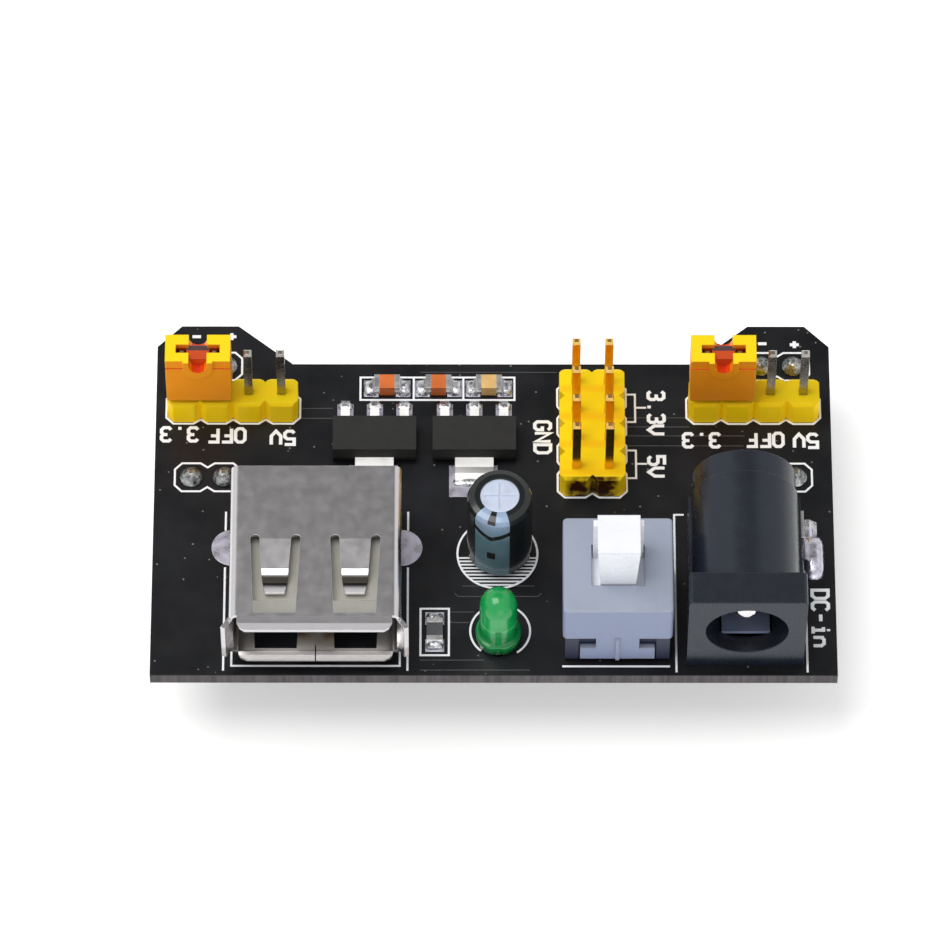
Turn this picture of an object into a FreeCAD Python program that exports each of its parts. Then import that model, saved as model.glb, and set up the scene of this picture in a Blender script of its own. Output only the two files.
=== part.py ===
import FreeCAD, Part
import os
import re
import Sketcher
from FreeCAD import Vector

# Plug-in power supply board for a solderless breadboard.
# Origin: centre of the rail pin pattern, on the seating faces of the four pin carriers.
# +Z up, +X to the right, +Y away from the two sockets. All lengths in millimetres.
SIZES = {
    # circuit board
    "board_width": 52.7,
    "board_front": 22.75,
    "board_back": 5.3,
    "board_thick": 1.2,
    "tab_reach": 8.8,
    "tab_chamfer": 1.9,
    "tab_width": 6.35,
    "tab_slope_run": 4.3,
    # pin headers
    "pitch": 2.54,
    "pin_side": 0.64,
    "pin_point": 0.16,
    "carrier_height": 2.54,
    "carrier_notch": 0.42,
    "block_bevel": 0.24,
    "lead_hole_radius": 0.5,
    "lead_reach": 1.2,
    # rail pins
    "rail_pair_gap": 44.45,
    "rail_row_gap": 10.16,
    "rail_pin_reach": 6.0,
    # voltage selectors
    "selector_gap": 40.62,
    "selector_y": 1.22,
    "post_height": 5.7,
    # output block
    "output_x": 7.68,
    "output_y": -1.68,
    "output_post_height": 6.0,
    # jumper caps
    "cap_width": 5.04,
    "cap_depth": 2.54,
    "cap_height": 5.55,
    "cap_seat_gap": 0.7,
    "cap_top_wall": 0.5,
    "cap_side_wall": 0.32,
    "cap_slot_width": 3.4,
    "cap_slot_depth": 0.74,
    "cap_notch_width": 1.4,
    "cap_notch_drop": 1.4,
    "cap_setback": 0.1,
    "cap_band": 1.0,
    "cap_rim": 0.45,
    "cap_rim_rise": 0.08,
    "clip_sheet": 0.22,
    "clip_height": 4.1,
    "clip_width": 4.2,
    "clip_gap": 0.06,
    # solder
    "fillet_radius": 0.95,
    "fillet_height": 0.85,
    "fillet_slope": 0.5,
    "blade_fillet": 0.65,
    "blade_fillet_height": 0.7,
    "blade_fillet_slope": 0.45,
    "side_joint_width": 1.2,
    "side_joint_length": 4.8,
    "side_joint_height": 0.5,
    "chip_fillet_run": 0.42,
    "chip_fillet_rise": 0.7,
    "foot_fillet_run": 0.45,
    # USB socket
    "usb_x": -13.63,
    "usb_front": 21.55,
    "usb_side_room": 0.7,
    "usb_height": 5.72,
    "usb_length": 13.3,
    "usb_floor": 1.28,
    "usb_sheet": 0.3,
    "usb_bend": 0.65,
    "usb_window_centre": 3.05,
    "usb_window_front": 0.27,
    "usb_window_rear": 6.8,
    "usb_window_wide": 3.82,
    "usb_window_narrow": 3.2,
    "usb_finger_root": 2.42,
    "usb_finger_neck": 2.0,
    "usb_finger_tip": 1.5,
    "usb_finger_bend": 4.2,
    "usb_finger_end": 2.2,
    "usb_finger_dip": 0.65,
    "usb_lip_reach": 1.45,
    "usb_lip_rise": 0.3,
    "usb_lip_low_reach": 0.6,
    "usb_lip_low_drop": 0.23,
    "usb_lip_margin": 0.6,
    "usb_seam": 0.08,
    "usb_flare": 0.6,
    "usb_flare_height": 4.3,
    "usb_leg_y": 10.1,
    "usb_leg_width": 1.5,
    "usb_leg_slot": 0.25,
    "tongue_width": 11.1,
    "tongue_thick": 1.84,
    "tongue_recess": 1.9,
    "tongue_roof_gap": 0.7,
    "housing_depth": 3.6,
    "housing_gap": 0.05,
    "contact_width": 0.9,
    "contact_sheet": 0.25,
    "contact_outer": 3.5,
    "contact_inner": 1.0,
    "contact_tail_back": 1.5,
    "contact_setback": 0.6,
    # DC power jack
    "jack_x": 19.25,
    "jack_back": 8.15,
    "jack_width": 9.0,
    "jack_block_height": 9.6,
    "jack_block_depth": 2.7,
    "jack_corner": 0.35,
    "jack_length": 13.8,
    "jack_axis_height": 5.3,
    "jack_barrel_radius": 4.1,
    "jack_base_width": 8.6,
    "jack_rear_step": 0.15,
    "jack_rear_length": 1.9,
    "jack_bore_radius": 3.15,
    "jack_rear_wall": 2.6,
    "jack_pin_radius": 1.0,
    "jack_pin_recess": 1.5,
    "jack_strip": 0.3,
    "jack_rivet_radius": 0.6,
    "jack_strip_width": 2.4,
    "jack_leaf_width": 3.7,
    "jack_leaf_front": 1.4,
    "jack_leaf_rear": 8.0,
    "jack_leaf_lift": 0.45,
    "jack_leaf_gap": 0.05,
    "jack_blade_drop": 1.5,
    "jack_side_y": 10.4,
    "jack_slot_gap": 0.15,
    # push switch
    "switch_x": 9.45,
    "switch_y": -17.4,
    "switch_side": 8.4,
    "switch_height": 7.55,
    "switch_skirt": 3.6,
    "switch_wall": 0.6,
    "switch_roof": 0.8,
    "switch_step": 0.2,
    "switch_floor": 1.1,
    "switch_standoff": 0.2,
    "switch_gap": 0.1,
    "switch_corner": 0.35,
    "switch_edge": 0.18,
    "switch_foot_inset": 1.0,
    "base_wall": 0.55,
    "base_top": 4.3,
    "clip_leg_width": 3.3,
    "clip_foot_width": 5.7,
    "clip_foot_low": 0.55,
    "clip_foot_high": 2.1,
    "clip_leg_sheet": 0.45,
    "clip_rib": 0.3,
    "clip_rib_rise": 0.15,
    "clip_leg_gap": 0.05,
    "stem_width": 3.25,
    "stem_neck": 2.7,
    "stem_depth": 3.4,
    "stem_rise": 4.55,
    "wing_width": 3.85,
    "wing_depth": 0.55,
    "wing_rise": 3.8,
    "stem_gap": 0.1,
    "carriage_width": 5.6,
    "carriage_thick": 1.3,
    "switch_travel": 2.0,
    "spring_radius": 1.55,
    "spring_wire": 0.3,
    "spring_turns": 5.0,
    "terminal_x": 2.2,
    "terminal_y": 2.2,
    "terminal_width": 0.7,
    "terminal_sheet": 0.3,
    "bridge_width": 0.8,
    "bridge_sheet": 0.2,
    "latch_wire": 0.4,
    "latch_drop": 0.5,
    # reservoir capacitor
    "can_x": 0.45,
    "can_y": -11.75,
    "can_radius": 2.42,
    "can_height": 7.7,
    "can_standoff": 0.6,
    "can_groove": 0.25,
    "can_skirt": 0.2,
    "can_shoulder": 0.5,
    "can_score": 0.12,
    "can_score_depth": 0.08,
    "can_score_length": 2.4,
    "sleeve_wall": 0.09,
    "sleeve_overlap": 0.42,
    "sleeve_foot": 0.1,
    "seal_height": 1.2,
    "seal_recess": 0.15,
    "can_lead_gap": 2.0,
    "can_lead_radius": 0.25,
    # indicator lamp
    "lamp_x": 0.35,
    "lamp_y": -19.4,
    "lamp_radius": 1.48,
    "lamp_flange_radius": 2.0,
    "lamp_flange": 1.0,
    "lamp_flat": 1.52,
    "lamp_height": 6.1,
    "lamp_standoff": 0.2,
    "lamp_lead_gap": 2.54,
    "lamp_lead_side": 0.45,
    "lamp_cup_height": 3.0,
    "lamp_cup_rim": 0.8,
    "lamp_cup_slope": 0.5,
    "lamp_cup_inner": 0.25,
    "lamp_post_inner": 0.95,
    # chip parts
    "resistor_x": -4.53,
    "resistor_y": -18.95,
    "chip_length": 2.0,
    "chip_width": 1.25,
    "resistor_height": 0.5,
    "chip_cap_height": 1.1,
    "chip_end": 0.42,
    "chip_lift": 0.03,
    "chip_row_y": 3.03,
    "chip_left_x": -8.3,
    "chip_middle_x": -4.28,
    "chip_right_x": -0.34,
    # voltage regulators
    "regulator_left_x": -9.25,
    "regulator_right_x": -1.48,
    "regulator_y": -2.0,
    "regulator_width": 6.5,
    "regulator_depth": 3.5,
    "regulator_height": 1.6,
    "regulator_lift": 0.08,
    "regulator_draft": 0.22,
    "regulator_part_line": 0.75,
    "regulator_pitch": 2.3,
    "regulator_span": 7.0,
    "regulator_lead_width": 0.72,
    "regulator_tab_width": 3.0,
    "regulator_sheet": 0.27,
    "regulator_foot": 0.9,
}

BOARD_TOP = "(carrier_height + board_thick)"
DERIVED = {
    "usb_width": "(tongue_width + 2 * (usb_side_room + usb_sheet))",
    "jack_front": "(jack_back + jack_length)",
    "slot_width": "(usb_window_wide / 2 - usb_finger_root / 2)",
    "shoulder_cut": "(can_shoulder * 0.3)",
}
SELECTOR_SIDES = (("left", "-selector_gap / 2"), ("right", "selector_gap / 2"))
RAIL_CORNERS = (
    ("front_left", "-rail_pair_gap / 2", "-rail_row_gap / 2"),
    ("front_right", "rail_pair_gap / 2", "-rail_row_gap / 2"),
    ("back_left", "-rail_pair_gap / 2", "rail_row_gap / 2"),
    ("back_right", "rail_pair_gap / 2", "rail_row_gap / 2"),
)

document = FreeCAD.newDocument("breadboard_supply")
sheet = document.addObject("Spreadsheet::Sheet", "Sizes")
for row, (alias, length) in enumerate(SIZES.items(), start=1):
    sheet.set(f"A{row}", alias)
    sheet.set(f"B{row}", str(length))
    sheet.setAlias(f"B{row}", alias)
document.recompute()
pieces = []


def formula(text):
    """Turns a formula in plain size names into one that reads the sheet."""
    text = re.sub(r"[a-z_]+", lambda word: DERIVED.get(word[0], word[0]), str(text))
    return re.sub(r"[a-z_]+", lambda word: "Sizes." + word[0] if word[0] in SIZES else word[0], text)


def mm(alias):
    return float(sheet.get(alias))


def piece(kind, name):
    """A sub-part of the model, which is written to a file of its own."""
    item = document.addObject(kind, name)
    item.Label = name
    pieces.append(item)
    return item


def place(item, x="0", y="0", z="0"):
    for axis, text in zip("xyz", (x, y, z)):
        item.setExpression(f"Placement.Base.{axis}", formula(text))


def body(name, x="0", y="0", z="0"):
    item = piece("PartDesign::Body", name)
    place(item, x, y, z)
    return item


def sketch_on(owner, plane, offset):
    """An empty sketch on one of the body's own origin planes, moved along that plane's normal."""
    sketch = owner.newObject("Sketcher::SketchObject", "Sketch")
    origin_plane = [item for item in owner.Origin.OriginFeatures if item.Role == plane + "_Plane"][0]
    sketch.AttachmentSupport = [(origin_plane, "")]
    sketch.MapMode = "FlatFace"
    sketch.setExpression("AttachmentOffset.Base.z", formula(offset))
    return sketch


def bind(sketch, kind, where, start, text):
    row = sketch.addConstraint(Sketcher.Constraint(kind, *where, start))
    sketch.setExpression(f"Constraints[{row}]", formula(text))


def draw_outline(sketch, corners):
    """A closed outline of straight lines. Each corner's place is a pair of formulas."""
    count = len(corners)
    first = sketch.GeometryCount
    starts = [Vector(k + 1, (k + 1) ** 2, 0) for k in range(count)]
    for k in range(count):
        sketch.addGeometry(Part.LineSegment(starts[k], starts[(k + 1) % count]), False)
    for k, (x, y) in enumerate(corners):
        sketch.addConstraint(Sketcher.Constraint("Coincident", first + k, 2, first + (k + 1) % count, 1))
        bind(sketch, "DistanceX", (first + k, 1), starts[k].x, x)
        bind(sketch, "DistanceY", (first + k, 1), starts[k].y, y)


def draw_circle(sketch, x, y, radius):
    ring = sketch.addGeometry(Part.Circle(Vector(1, 1, 0), Vector(0, 0, 1), 1), False)
    bind(sketch, "DistanceX", (ring, 3), 1, x)
    bind(sketch, "DistanceY", (ring, 3), 1, y)
    bind(sketch, "Radius", (ring,), 1, radius)


def extrude(owner, plane, start, length, outlines=(), circles=(), cut=False):
    """Adds or cuts a prism. XY runs up from start, XZ towards the front, YZ to the right."""
    sketch = sketch_on(owner, plane, start)
    for corners in outlines:
        draw_outline(sketch, corners)
    for circle in circles:
        draw_circle(sketch, *circle)
    feature = owner.newObject("PartDesign::Pocket" if cut else "PartDesign::Pad", "Cut" if cut else "Pad")
    feature.Profile = sketch
    feature.Reversed = cut
    feature.setExpression("Length", formula(length))
    return feature


def box_outline(x, y, width, depth):
    """Corners of a rectangle about a centre."""
    left, right = f"{x} - ({width}) / 2", f"{x} + ({width}) / 2"
    low, high = f"{y} - ({depth}) / 2", f"{y} + ({depth}) / 2"
    return [(left, low), (right, low), (right, high), (left, high)]


def round_edges(owner, feature, radius, chosen):
    """Fillets the edges of a feature that the chosen test picks."""
    document.recompute()
    names = [f"Edge{k}" for k, edge in enumerate(feature.Shape.Edges, start=1) if chosen(edge)]
    fillet = owner.newObject("PartDesign::Fillet", "Fillet")
    fillet.Base = (feature, names)
    fillet.setExpression("Radius", formula(radius))
    return fillet


def bevel_edges(owner, feature, size, chosen):
    document.recompute()
    names = [f"Edge{k}" for k, edge in enumerate(feature.Shape.Edges, start=1) if chosen(edge)]
    bevel = owner.newObject("PartDesign::Chamfer", "Chamfer")
    bevel.Base = (feature, names)
    bevel.setExpression("Size", formula(size))
    return bevel


def runs_along(edge, axis):
    start, end = edge.Vertexes[0].Point, edge.Vertexes[-1].Point
    run = end - start
    return run.Length > 0 and abs(run.dot(axis)) > 0.999 * run.Length


def at_level(edge, axis, level):
    return all(abs(vertex.Point.dot(axis) - level) < 0.001 for vertex in edge.Vertexes)


# Places of the leads
def row_of(count, centre="0"):
    """Offsets of a row of pins at the header pitch."""
    return [f"({centre} + ({k - (count - 1) / 2}) * pitch)" for k in range(count)]


def rail_pin_places():
    return [(x, y) for name, centre, y in RAIL_CORNERS for x in row_of(2, centre)]


def selector_pin_places():
    return [(x, "selector_y") for side, centre in SELECTOR_SIDES for x in row_of(4, centre)]


def output_pin_places():
    return [(x, y) for x in row_of(2, "output_x") for y in row_of(4, "output_y")]


def usb_contact_places():
    tail_y = "(-usb_front + usb_length - contact_tail_back)"
    offsets = ("-contact_outer", "-contact_inner", "contact_inner", "contact_outer")
    return [(f"(usb_x + {offset})", tail_y) for offset in offsets]


def terminal_places():
    columns = ("switch_x - terminal_x", "switch_x + terminal_x")
    rows = ("switch_y - terminal_y", "switch_y", "switch_y + terminal_y")
    return [(f"({x})", f"({y})") for x in columns for y in rows]


def lamp_lead_places():
    return [("lamp_x", f"(lamp_y {sign} lamp_lead_gap / 2)") for sign in "-+"]


def can_lead_places():
    return [(f"(can_x {sign} can_lead_gap / 2)", "can_y") for sign in "-+"]


def lead_places():
    """Every lead that is soldered on the underside in a round hole."""
    groups = (selector_pin_places(), output_pin_places(), usb_contact_places())
    small = (terminal_places(), lamp_lead_places(), can_lead_places())
    return [place for group in groups + small for place in group]


def blade_places():
    """Wide blades in slots: centre x, centre y, length along x, length along y."""
    side_x = "jack_x + jack_base_width / 2 + jack_strip / 2"
    return (
        ("usb_x - usb_width / 2 + usb_sheet / 2", "usb_leg_y - usb_front", "usb_sheet", "usb_leg_width"),
        ("usb_x + usb_width / 2 - usb_sheet / 2", "usb_leg_y - usb_front", "usb_sheet", "usb_leg_width"),
        ("jack_x", "jack_length + jack_strip / 2 - jack_front", "jack_strip_width", "jack_strip"),
        ("jack_x", "jack_leaf_rear + jack_strip / 2 - jack_front", "jack_strip_width", "jack_strip"),
        (side_x, "jack_side_y - jack_front", "jack_strip", "jack_strip_width"),
    )


# Circuit board
def make_board():
    owner = body("circuit_board", z="carrier_height")
    half = "board_width / 2"
    right_side = [
        (half, "-board_front"),
        (half, "tab_reach - tab_chamfer"),
        (half + " - tab_chamfer", "tab_reach"),
        (half + " - tab_width", "tab_reach"),
        (half + " - tab_width - tab_slope_run", "board_back"),
    ]
    left_side = [(f"-({x})", y) for x, y in reversed(right_side)]
    extrude(owner, "XY", "0", "board_thick", [right_side + left_side])
    holes = [(x, y, "lead_hole_radius") for x, y in rail_pin_places() + lead_places()]
    slots = [
        box_outline(x, y, f"{wide} + 2 * usb_leg_slot", f"{deep} + 2 * usb_leg_slot")
        for x, y, wide, deep in blade_places()
    ]
    extrude(owner, "XY", "0", "board_thick", slots, holes, cut=True)


# Pin headers
def square_pins(name, places, low, high):
    """Square pins with pointed ends, as one group."""
    owner = body(name)
    squares = [box_outline(x, y, "pin_side", "pin_side") for x, y in places]
    pins = extrude(owner, "XY", low, f"{high} - ({low})", squares)
    up = Vector(0, 0, 1)
    document.recompute()
    ends = (pins.Shape.BoundBox.ZMin, pins.Shape.BoundBox.ZMax)
    bevel_edges(owner, pins, "pin_point", lambda edge: any(at_level(edge, up, end) for end in ends))


def notched_block(count_x, count_y):
    """Outline of a header moulding, with a notch between neighbouring pins."""
    width, depth = f"{count_x} * pitch", f"{count_y} * pitch"
    front = []
    for k in range(count_x):
        left = f"-({width}) / 2 + {k} * pitch"
        front += [(left + " + carrier_notch", "0"), (left + " + pitch - carrier_notch", "0")]
        if k < count_x - 1:
            front.append((left + " + pitch", "carrier_notch"))
    side = []
    for k in range(count_y):
        low = f"{k} * pitch"
        side += [("0", low + " + carrier_notch"), ("0", low + " + pitch - carrier_notch")]
        if k < count_y - 1:
            side.append(("carrier_notch", low + " + pitch"))
    half_x, half_y = f"({width}) / 2", f"({depth}) / 2"
    outline = [(x, f"{y} - {half_y}") for x, y in front]
    outline += [(f"{half_x} - ({x})", f"{y} - {half_y}") for x, y in side]
    outline += [(x, f"{half_y} - ({y})") for x, y in reversed(front)]
    outline += [(f"{x} - {half_x}", f"{y} - {half_y}") for x, y in reversed(side)]
    return outline


def header_block(name, count_x, count_y, x, y, z):
    owner = body(name, x, y, z)
    extrude(owner, "XY", "0", "carrier_height", [notched_block(count_x, count_y)])
    half, top = f"{count_y} * pitch / 2", "carrier_height"
    bevels = [
        [(f"{sign}({half})", top), (f"{sign}({half} - block_bevel)", top), (f"{sign}({half})", f"{top} - block_bevel")]
        for sign in ("-", "")
    ]
    extrude(owner, "YZ", f"-{count_x} * pitch / 2", f"{count_x} * pitch", bevels, cut=True)
    columns, rows = row_of(count_x), row_of(count_y)
    squares = [box_outline(column, line, "pin_side", "pin_side") for column in columns for line in rows]
    extrude(owner, "XY", "0", "carrier_height", squares, cut=True)


def make_headers():
    under = "-lead_reach"
    for name, x, y in RAIL_CORNERS:
        header_block(f"rail_carrier_{name}", 2, 1, x, y, "0")
        places = [(column, y) for column in row_of(2, x)]
        square_pins(f"rail_pins_{name}", places, "-rail_pin_reach", f"{BOARD_TOP} + fillet_height")
    for side, x in SELECTOR_SIDES:
        header_block(f"selector_carrier_{side}", 4, 1, x, "selector_y", BOARD_TOP)
        places = [(column, "selector_y") for column in row_of(4, x)]
        top = f"{BOARD_TOP} + carrier_height + post_height"
        square_pins(f"selector_pins_{side}", places, f"carrier_height {under}", top)
    header_block("output_carrier", 2, 4, "output_x", "output_y", BOARD_TOP)
    top = f"{BOARD_TOP} + carrier_height + output_post_height"
    square_pins("output_pins", output_pin_places(), f"carrier_height {under}", top)


# Jumper caps
def notch_outline(half, drop):
    """Front view of the round-bottomed notch in a jumper cap's top, or of the rim round it."""
    low = f"cap_height - ({drop})"
    return [
        (f"-({half})", "cap_height"),
        (f"-({half})", f"{low} + ({half})"),
        (f"-({half}) * 0.7", f"{low} + ({half}) * 0.3"),
        (f"-({half}) * 0.25", low),
        (f"({half}) * 0.25", low),
        (f"({half}) * 0.7", f"{low} + ({half}) * 0.3"),
        (half, f"{low} + ({half})"),
        (half, "cap_height"),
    ]


def make_jumper(side, header_x):
    x = f"{header_x} - pitch"
    z = f"{BOARD_TOP} + carrier_height + cap_seat_gap"
    cap = body(f"jumper_cap_{side}", x, "selector_y", z)
    half = "cap_depth / 2"
    profile = [
        (f"-{half}", "0"),
        (half, "0"),
        (half, "cap_height"),
        (f"-{half} + cap_setback", "cap_height"),
        (f"-{half} + cap_setback", "cap_height - cap_band"),
        (f"-{half}", "cap_height - cap_band"),
    ]
    extrude(cap, "YZ", "-cap_width / 2", "cap_width", [profile])
    rim = notch_outline("cap_notch_width / 2 + cap_rim", "cap_notch_drop + 2 * cap_rim")
    extrude(cap, "XZ", f"{half} - cap_setback", "cap_setback + cap_rim_rise", [rim])
    pocket = box_outline("0", "0", "cap_width - 2 * cap_side_wall", "pin_side + 2 * clip_gap + 2 * clip_sheet")
    extrude(cap, "XY", "0", "cap_height - cap_top_wall", [pocket], cut=True)
    slot = box_outline("0", "0", "cap_slot_width", "cap_slot_depth")
    extrude(cap, "XY", "cap_height - cap_top_wall", "cap_top_wall", [slot], cut=True)
    notch = notch_outline("cap_notch_width / 2", "cap_notch_drop")
    extrude(cap, "XZ", f"-{half}", "cap_depth + cap_rim_rise", [notch], cut=True)

    clip = body(f"jumper_clip_{side}", x, "selector_y", z)
    inner, outer = "pin_side / 2 + clip_gap", "pin_side / 2 + clip_gap + clip_sheet"
    for sign in ("-", ""):
        leaf = [
            (f"{sign}({inner})", "cap_height - cap_top_wall - clip_height"),
            (f"{sign}({outer})", "cap_height - cap_top_wall - clip_height"),
            (f"{sign}({outer})", "cap_height - cap_top_wall"),
            (f"{sign}({inner})", "cap_height - cap_top_wall"),
        ]
        extrude(clip, "YZ", "-clip_width / 2", "clip_width", [leaf])
    bridge = box_outline("0", "0", "pitch - pin_side - 2 * clip_gap", f"2 * ({inner})")
    extrude(clip, "XY", "cap_height - cap_top_wall - clip_sheet", "clip_sheet", [bridge])


# USB socket
def usb_body(name):
    return body(name, "usb_x", "-usb_front", BOARD_TOP)


def usb_windows(shell, wall_low):
    """Two tapered windows through the roof or the floor, rounded where the finger is rooted."""
    for sign in ("-", ""):
        centre = f"{sign}usb_window_centre"
        wide, narrow = "usb_window_wide / 2", "usb_window_narrow / 2"
        window = [
            (f"{centre} - {narrow}", "usb_window_front"),
            (f"{centre} + {narrow}", "usb_window_front"),
            (f"{centre} + {wide}", "usb_window_rear"),
            (f"{centre} - {wide}", "usb_window_rear"),
        ]
        extrude(shell, "XY", wall_low, "usb_sheet", [window], cut=True)
        ends = [(f"{centre} {turn} ({wide} - slot_width / 2)", "usb_window_rear", "slot_width / 2") for turn in "-+"]
        extrude(shell, "XY", wall_low, "usb_sheet", circles=ends, cut=True)


def usb_fingers(shell, outer, sign, low):
    """Tapered spring fingers bent into the opening, with the tip curled back."""
    inner = f"{outer} {sign} usb_sheet"
    stations = (
        ("usb_window_rear", "0"),
        ("usb_finger_bend", "usb_finger_dip * 0.2"),
        ("usb_finger_bend - 2 * usb_sheet", "usb_finger_dip * 0.6"),
        ("usb_finger_bend - 3 * usb_sheet", "usb_finger_dip"),
        ("usb_finger_bend - 4 * usb_sheet", "usb_finger_dip"),
        ("usb_finger_end", "usb_finger_dip * 0.5"),
    )
    path = [(y, f"{outer} {sign} {dip}") for y, dip in stations]
    path += [(y, f"{inner} {sign} {dip}") for y, dip in reversed(stations)]
    for side in ("-", ""):
        centre = f"({side}usb_window_centre)"
        extrude(shell, "YZ", f"{centre} - usb_finger_root / 2", "usb_finger_root", [path])
        trims = []
        for turn in "-+":
            edge = f"{centre} {turn} usb_finger_root / 2"
            trims.append([
                (edge, "usb_window_rear"),
                (f"{centre} {turn} usb_finger_neck / 2", "usb_finger_bend - 2 * usb_sheet"),
                (f"{centre} {turn} usb_finger_tip / 2", "usb_finger_end"),
                (edge, "usb_finger_end"),
            ])
        extrude(shell, "XY", low, "usb_finger_dip + usb_sheet", trims, cut=True)


def usb_lip(shell, outer, sign, low, reach, spread):
    """A lip that spreads from the mouth, cut back at both ends."""
    rise = f"{sign} {spread}"
    inner = f"{outer} - ({sign}1) * usb_sheet"
    lip = [
        ("0", outer),
        (f"-{reach} * 0.5", f"{outer} {rise} * 0.38"),
        (f"-{reach}", f"{outer} {rise}"),
        (f"-{reach}", f"{inner} {rise}"),
        (f"-{reach} * 0.5", f"{inner} {rise} * 0.38"),
        ("0", inner),
    ]
    half = "usb_width / 2"
    extrude(shell, "YZ", f"-{half} + usb_bend", "usb_width - 2 * usb_bend", [lip])
    corners = []
    for side in ("-", ""):
        edge = f"{side}({half} - usb_bend)"
        slant = f"{side}({half} - usb_bend - usb_lip_margin)"
        middle = f"{side}({half} - usb_bend - usb_lip_margin * 0.4)"
        corners.append([
            (edge, f"-{reach} * 0.4"),
            (edge, f"-{reach}"),
            (slant, f"-{reach}"),
            (middle, f"-{reach} * 0.8"),
        ])
    extrude(shell, "XY", low, f"{spread} + usb_sheet", corners, cut=True)


def make_usb_shell():
    shell = usb_body("usb_shell")
    half = "usb_width / 2"
    roof = "usb_floor + usb_height"
    outer = box_outline("0", "usb_floor + usb_height / 2", "usb_width", "usb_height")
    tube = extrude(shell, "XZ", "-usb_length", "usb_length", [outer])
    forward = Vector(0, 1, 0)
    rounded = round_edges(shell, tube, "usb_bend", lambda edge: runs_along(edge, forward))
    document.recompute()
    mouth = [f"Face{k}" for k, face in enumerate(rounded.Shape.Faces, start=1)
             if abs(face.CenterOfMass.y) < 0.001]
    skin = shell.newObject("PartDesign::Thickness", "Sheet")
    skin.Base = (rounded, mouth)
    skin.setExpression("Value", formula("usb_sheet"))
    skin.Reversed = True
    document.recompute()
    shell.Tip = skin
    usb_windows(shell, f"{roof} - usb_sheet")
    usb_windows(shell, "usb_floor")
    usb_fingers(shell, roof, "-", f"{roof} - usb_sheet - usb_finger_dip")
    usb_fingers(shell, "usb_floor", "+", "usb_floor")
    usb_lip(shell, roof, "+", f"{roof} - usb_sheet", "usb_lip_reach", "usb_lip_rise")
    usb_lip(shell, "usb_floor", "-", "usb_floor - usb_lip_low_drop", "usb_lip_low_reach", "usb_lip_low_drop")
    for side in ("-", ""):
        flare = [
            (f"{side}({half})", "usb_sheet"),
            (f"{side}({half} + usb_flare)", "-usb_flare"),
            (f"{side}({half} + usb_flare - usb_sheet * 1.1)", "-usb_flare - usb_sheet * 0.5"),
            (f"{side}({half} - usb_sheet)", "0"),
            (f"{side}({half} - usb_sheet)", "usb_sheet"),
        ]
        low = "usb_floor + (usb_height - usb_flare_height) / 2"
        extrude(shell, "XY", low, "usb_flare_height", [flare])
        leg = box_outline(f"{side}({half} - usb_sheet / 2)", "usb_leg_y", "usb_sheet", "usb_leg_width")
        low = "-board_thick - lead_reach"
        extrude(shell, "XY", low, f"usb_floor + usb_bend - ({low})", [leg])
    floor_gap = box_outline("0", "usb_length - housing_depth / 2", "tongue_width", "housing_depth + usb_sheet * 2")
    extrude(shell, "XY", "usb_floor", "usb_sheet", [floor_gap], cut=True)
    seam = box_outline("0", "0", "usb_seam", "2 * usb_lip_low_reach")
    low = "usb_floor - usb_lip_low_drop"
    extrude(shell, "XY", low, "usb_lip_low_drop + usb_sheet", [seam], cut=True)


def contact_outline():
    """Side view of one contact: along the tongue's underside, then down through the board."""
    under = "usb_floor + usb_height - usb_sheet - tongue_roof_gap - tongue_thick"
    tail = "usb_length - contact_tail_back"
    return [
        ("tongue_recess + contact_setback", f"{under} - contact_sheet"),
        (f"{tail} - contact_sheet / 2", f"{under} - contact_sheet"),
        (f"{tail} - contact_sheet / 2", "-board_thick - lead_reach"),
        (f"{tail} + contact_sheet / 2", "-board_thick - lead_reach"),
        (f"{tail} + contact_sheet / 2", under),
        ("tongue_recess + contact_setback", under),
    ]


def make_usb_insides():
    housing = usb_body("usb_insulator")
    rear = "usb_length - usb_sheet - housing_gap"
    inner_width = "usb_width - 2 * usb_sheet - 2 * housing_gap"
    inner_top = "usb_floor + usb_height - usb_sheet - housing_gap"
    block = [
        (f"-({inner_width}) / 2 + usb_bend", f"{inner_top}"),
        (f"-({inner_width}) / 2", f"{inner_top} - usb_bend"),
        (f"-({inner_width}) / 2", "usb_floor + usb_sheet + housing_gap + usb_bend"),
        (f"-({inner_width}) / 2 + usb_bend", "usb_floor + usb_sheet + housing_gap"),
        ("-tongue_width / 2 + housing_gap", "usb_floor + usb_sheet + housing_gap"),
        ("-tongue_width / 2 + housing_gap", "0"),
        ("tongue_width / 2 - housing_gap", "0"),
        ("tongue_width / 2 - housing_gap", "usb_floor + usb_sheet + housing_gap"),
        (f"({inner_width}) / 2 - usb_bend", "usb_floor + usb_sheet + housing_gap"),
        (f"({inner_width}) / 2", "usb_floor + usb_sheet + housing_gap + usb_bend"),
        (f"({inner_width}) / 2", f"{inner_top} - usb_bend"),
        (f"({inner_width}) / 2 - usb_bend", f"{inner_top}"),
    ]
    extrude(housing, "XZ", f"-({rear})", "housing_depth - usb_sheet - 2 * housing_gap", [block])
    under = "usb_floor + usb_height - usb_sheet - tongue_roof_gap - tongue_thick"
    tongue = box_outline("0", f"{under} + tongue_thick / 2", "tongue_width", "tongue_thick")
    extrude(housing, "XZ", f"-({rear})", f"{rear} - tongue_recess", [tongue])
    offsets = ("-contact_outer", "-contact_inner", "contact_inner", "contact_outer")
    for offset in offsets:
        extrude(housing, "YZ", f"{offset} - contact_width / 2", "contact_width", [contact_outline()], cut=True)
    contacts = usb_body("usb_contacts")
    for offset in offsets:
        extrude(contacts, "YZ", f"{offset} - contact_width / 2", "contact_width", [contact_outline()])


# DC power jack
def jack_body(name):
    return body(name, "jack_x", "-jack_front", BOARD_TOP)


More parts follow.
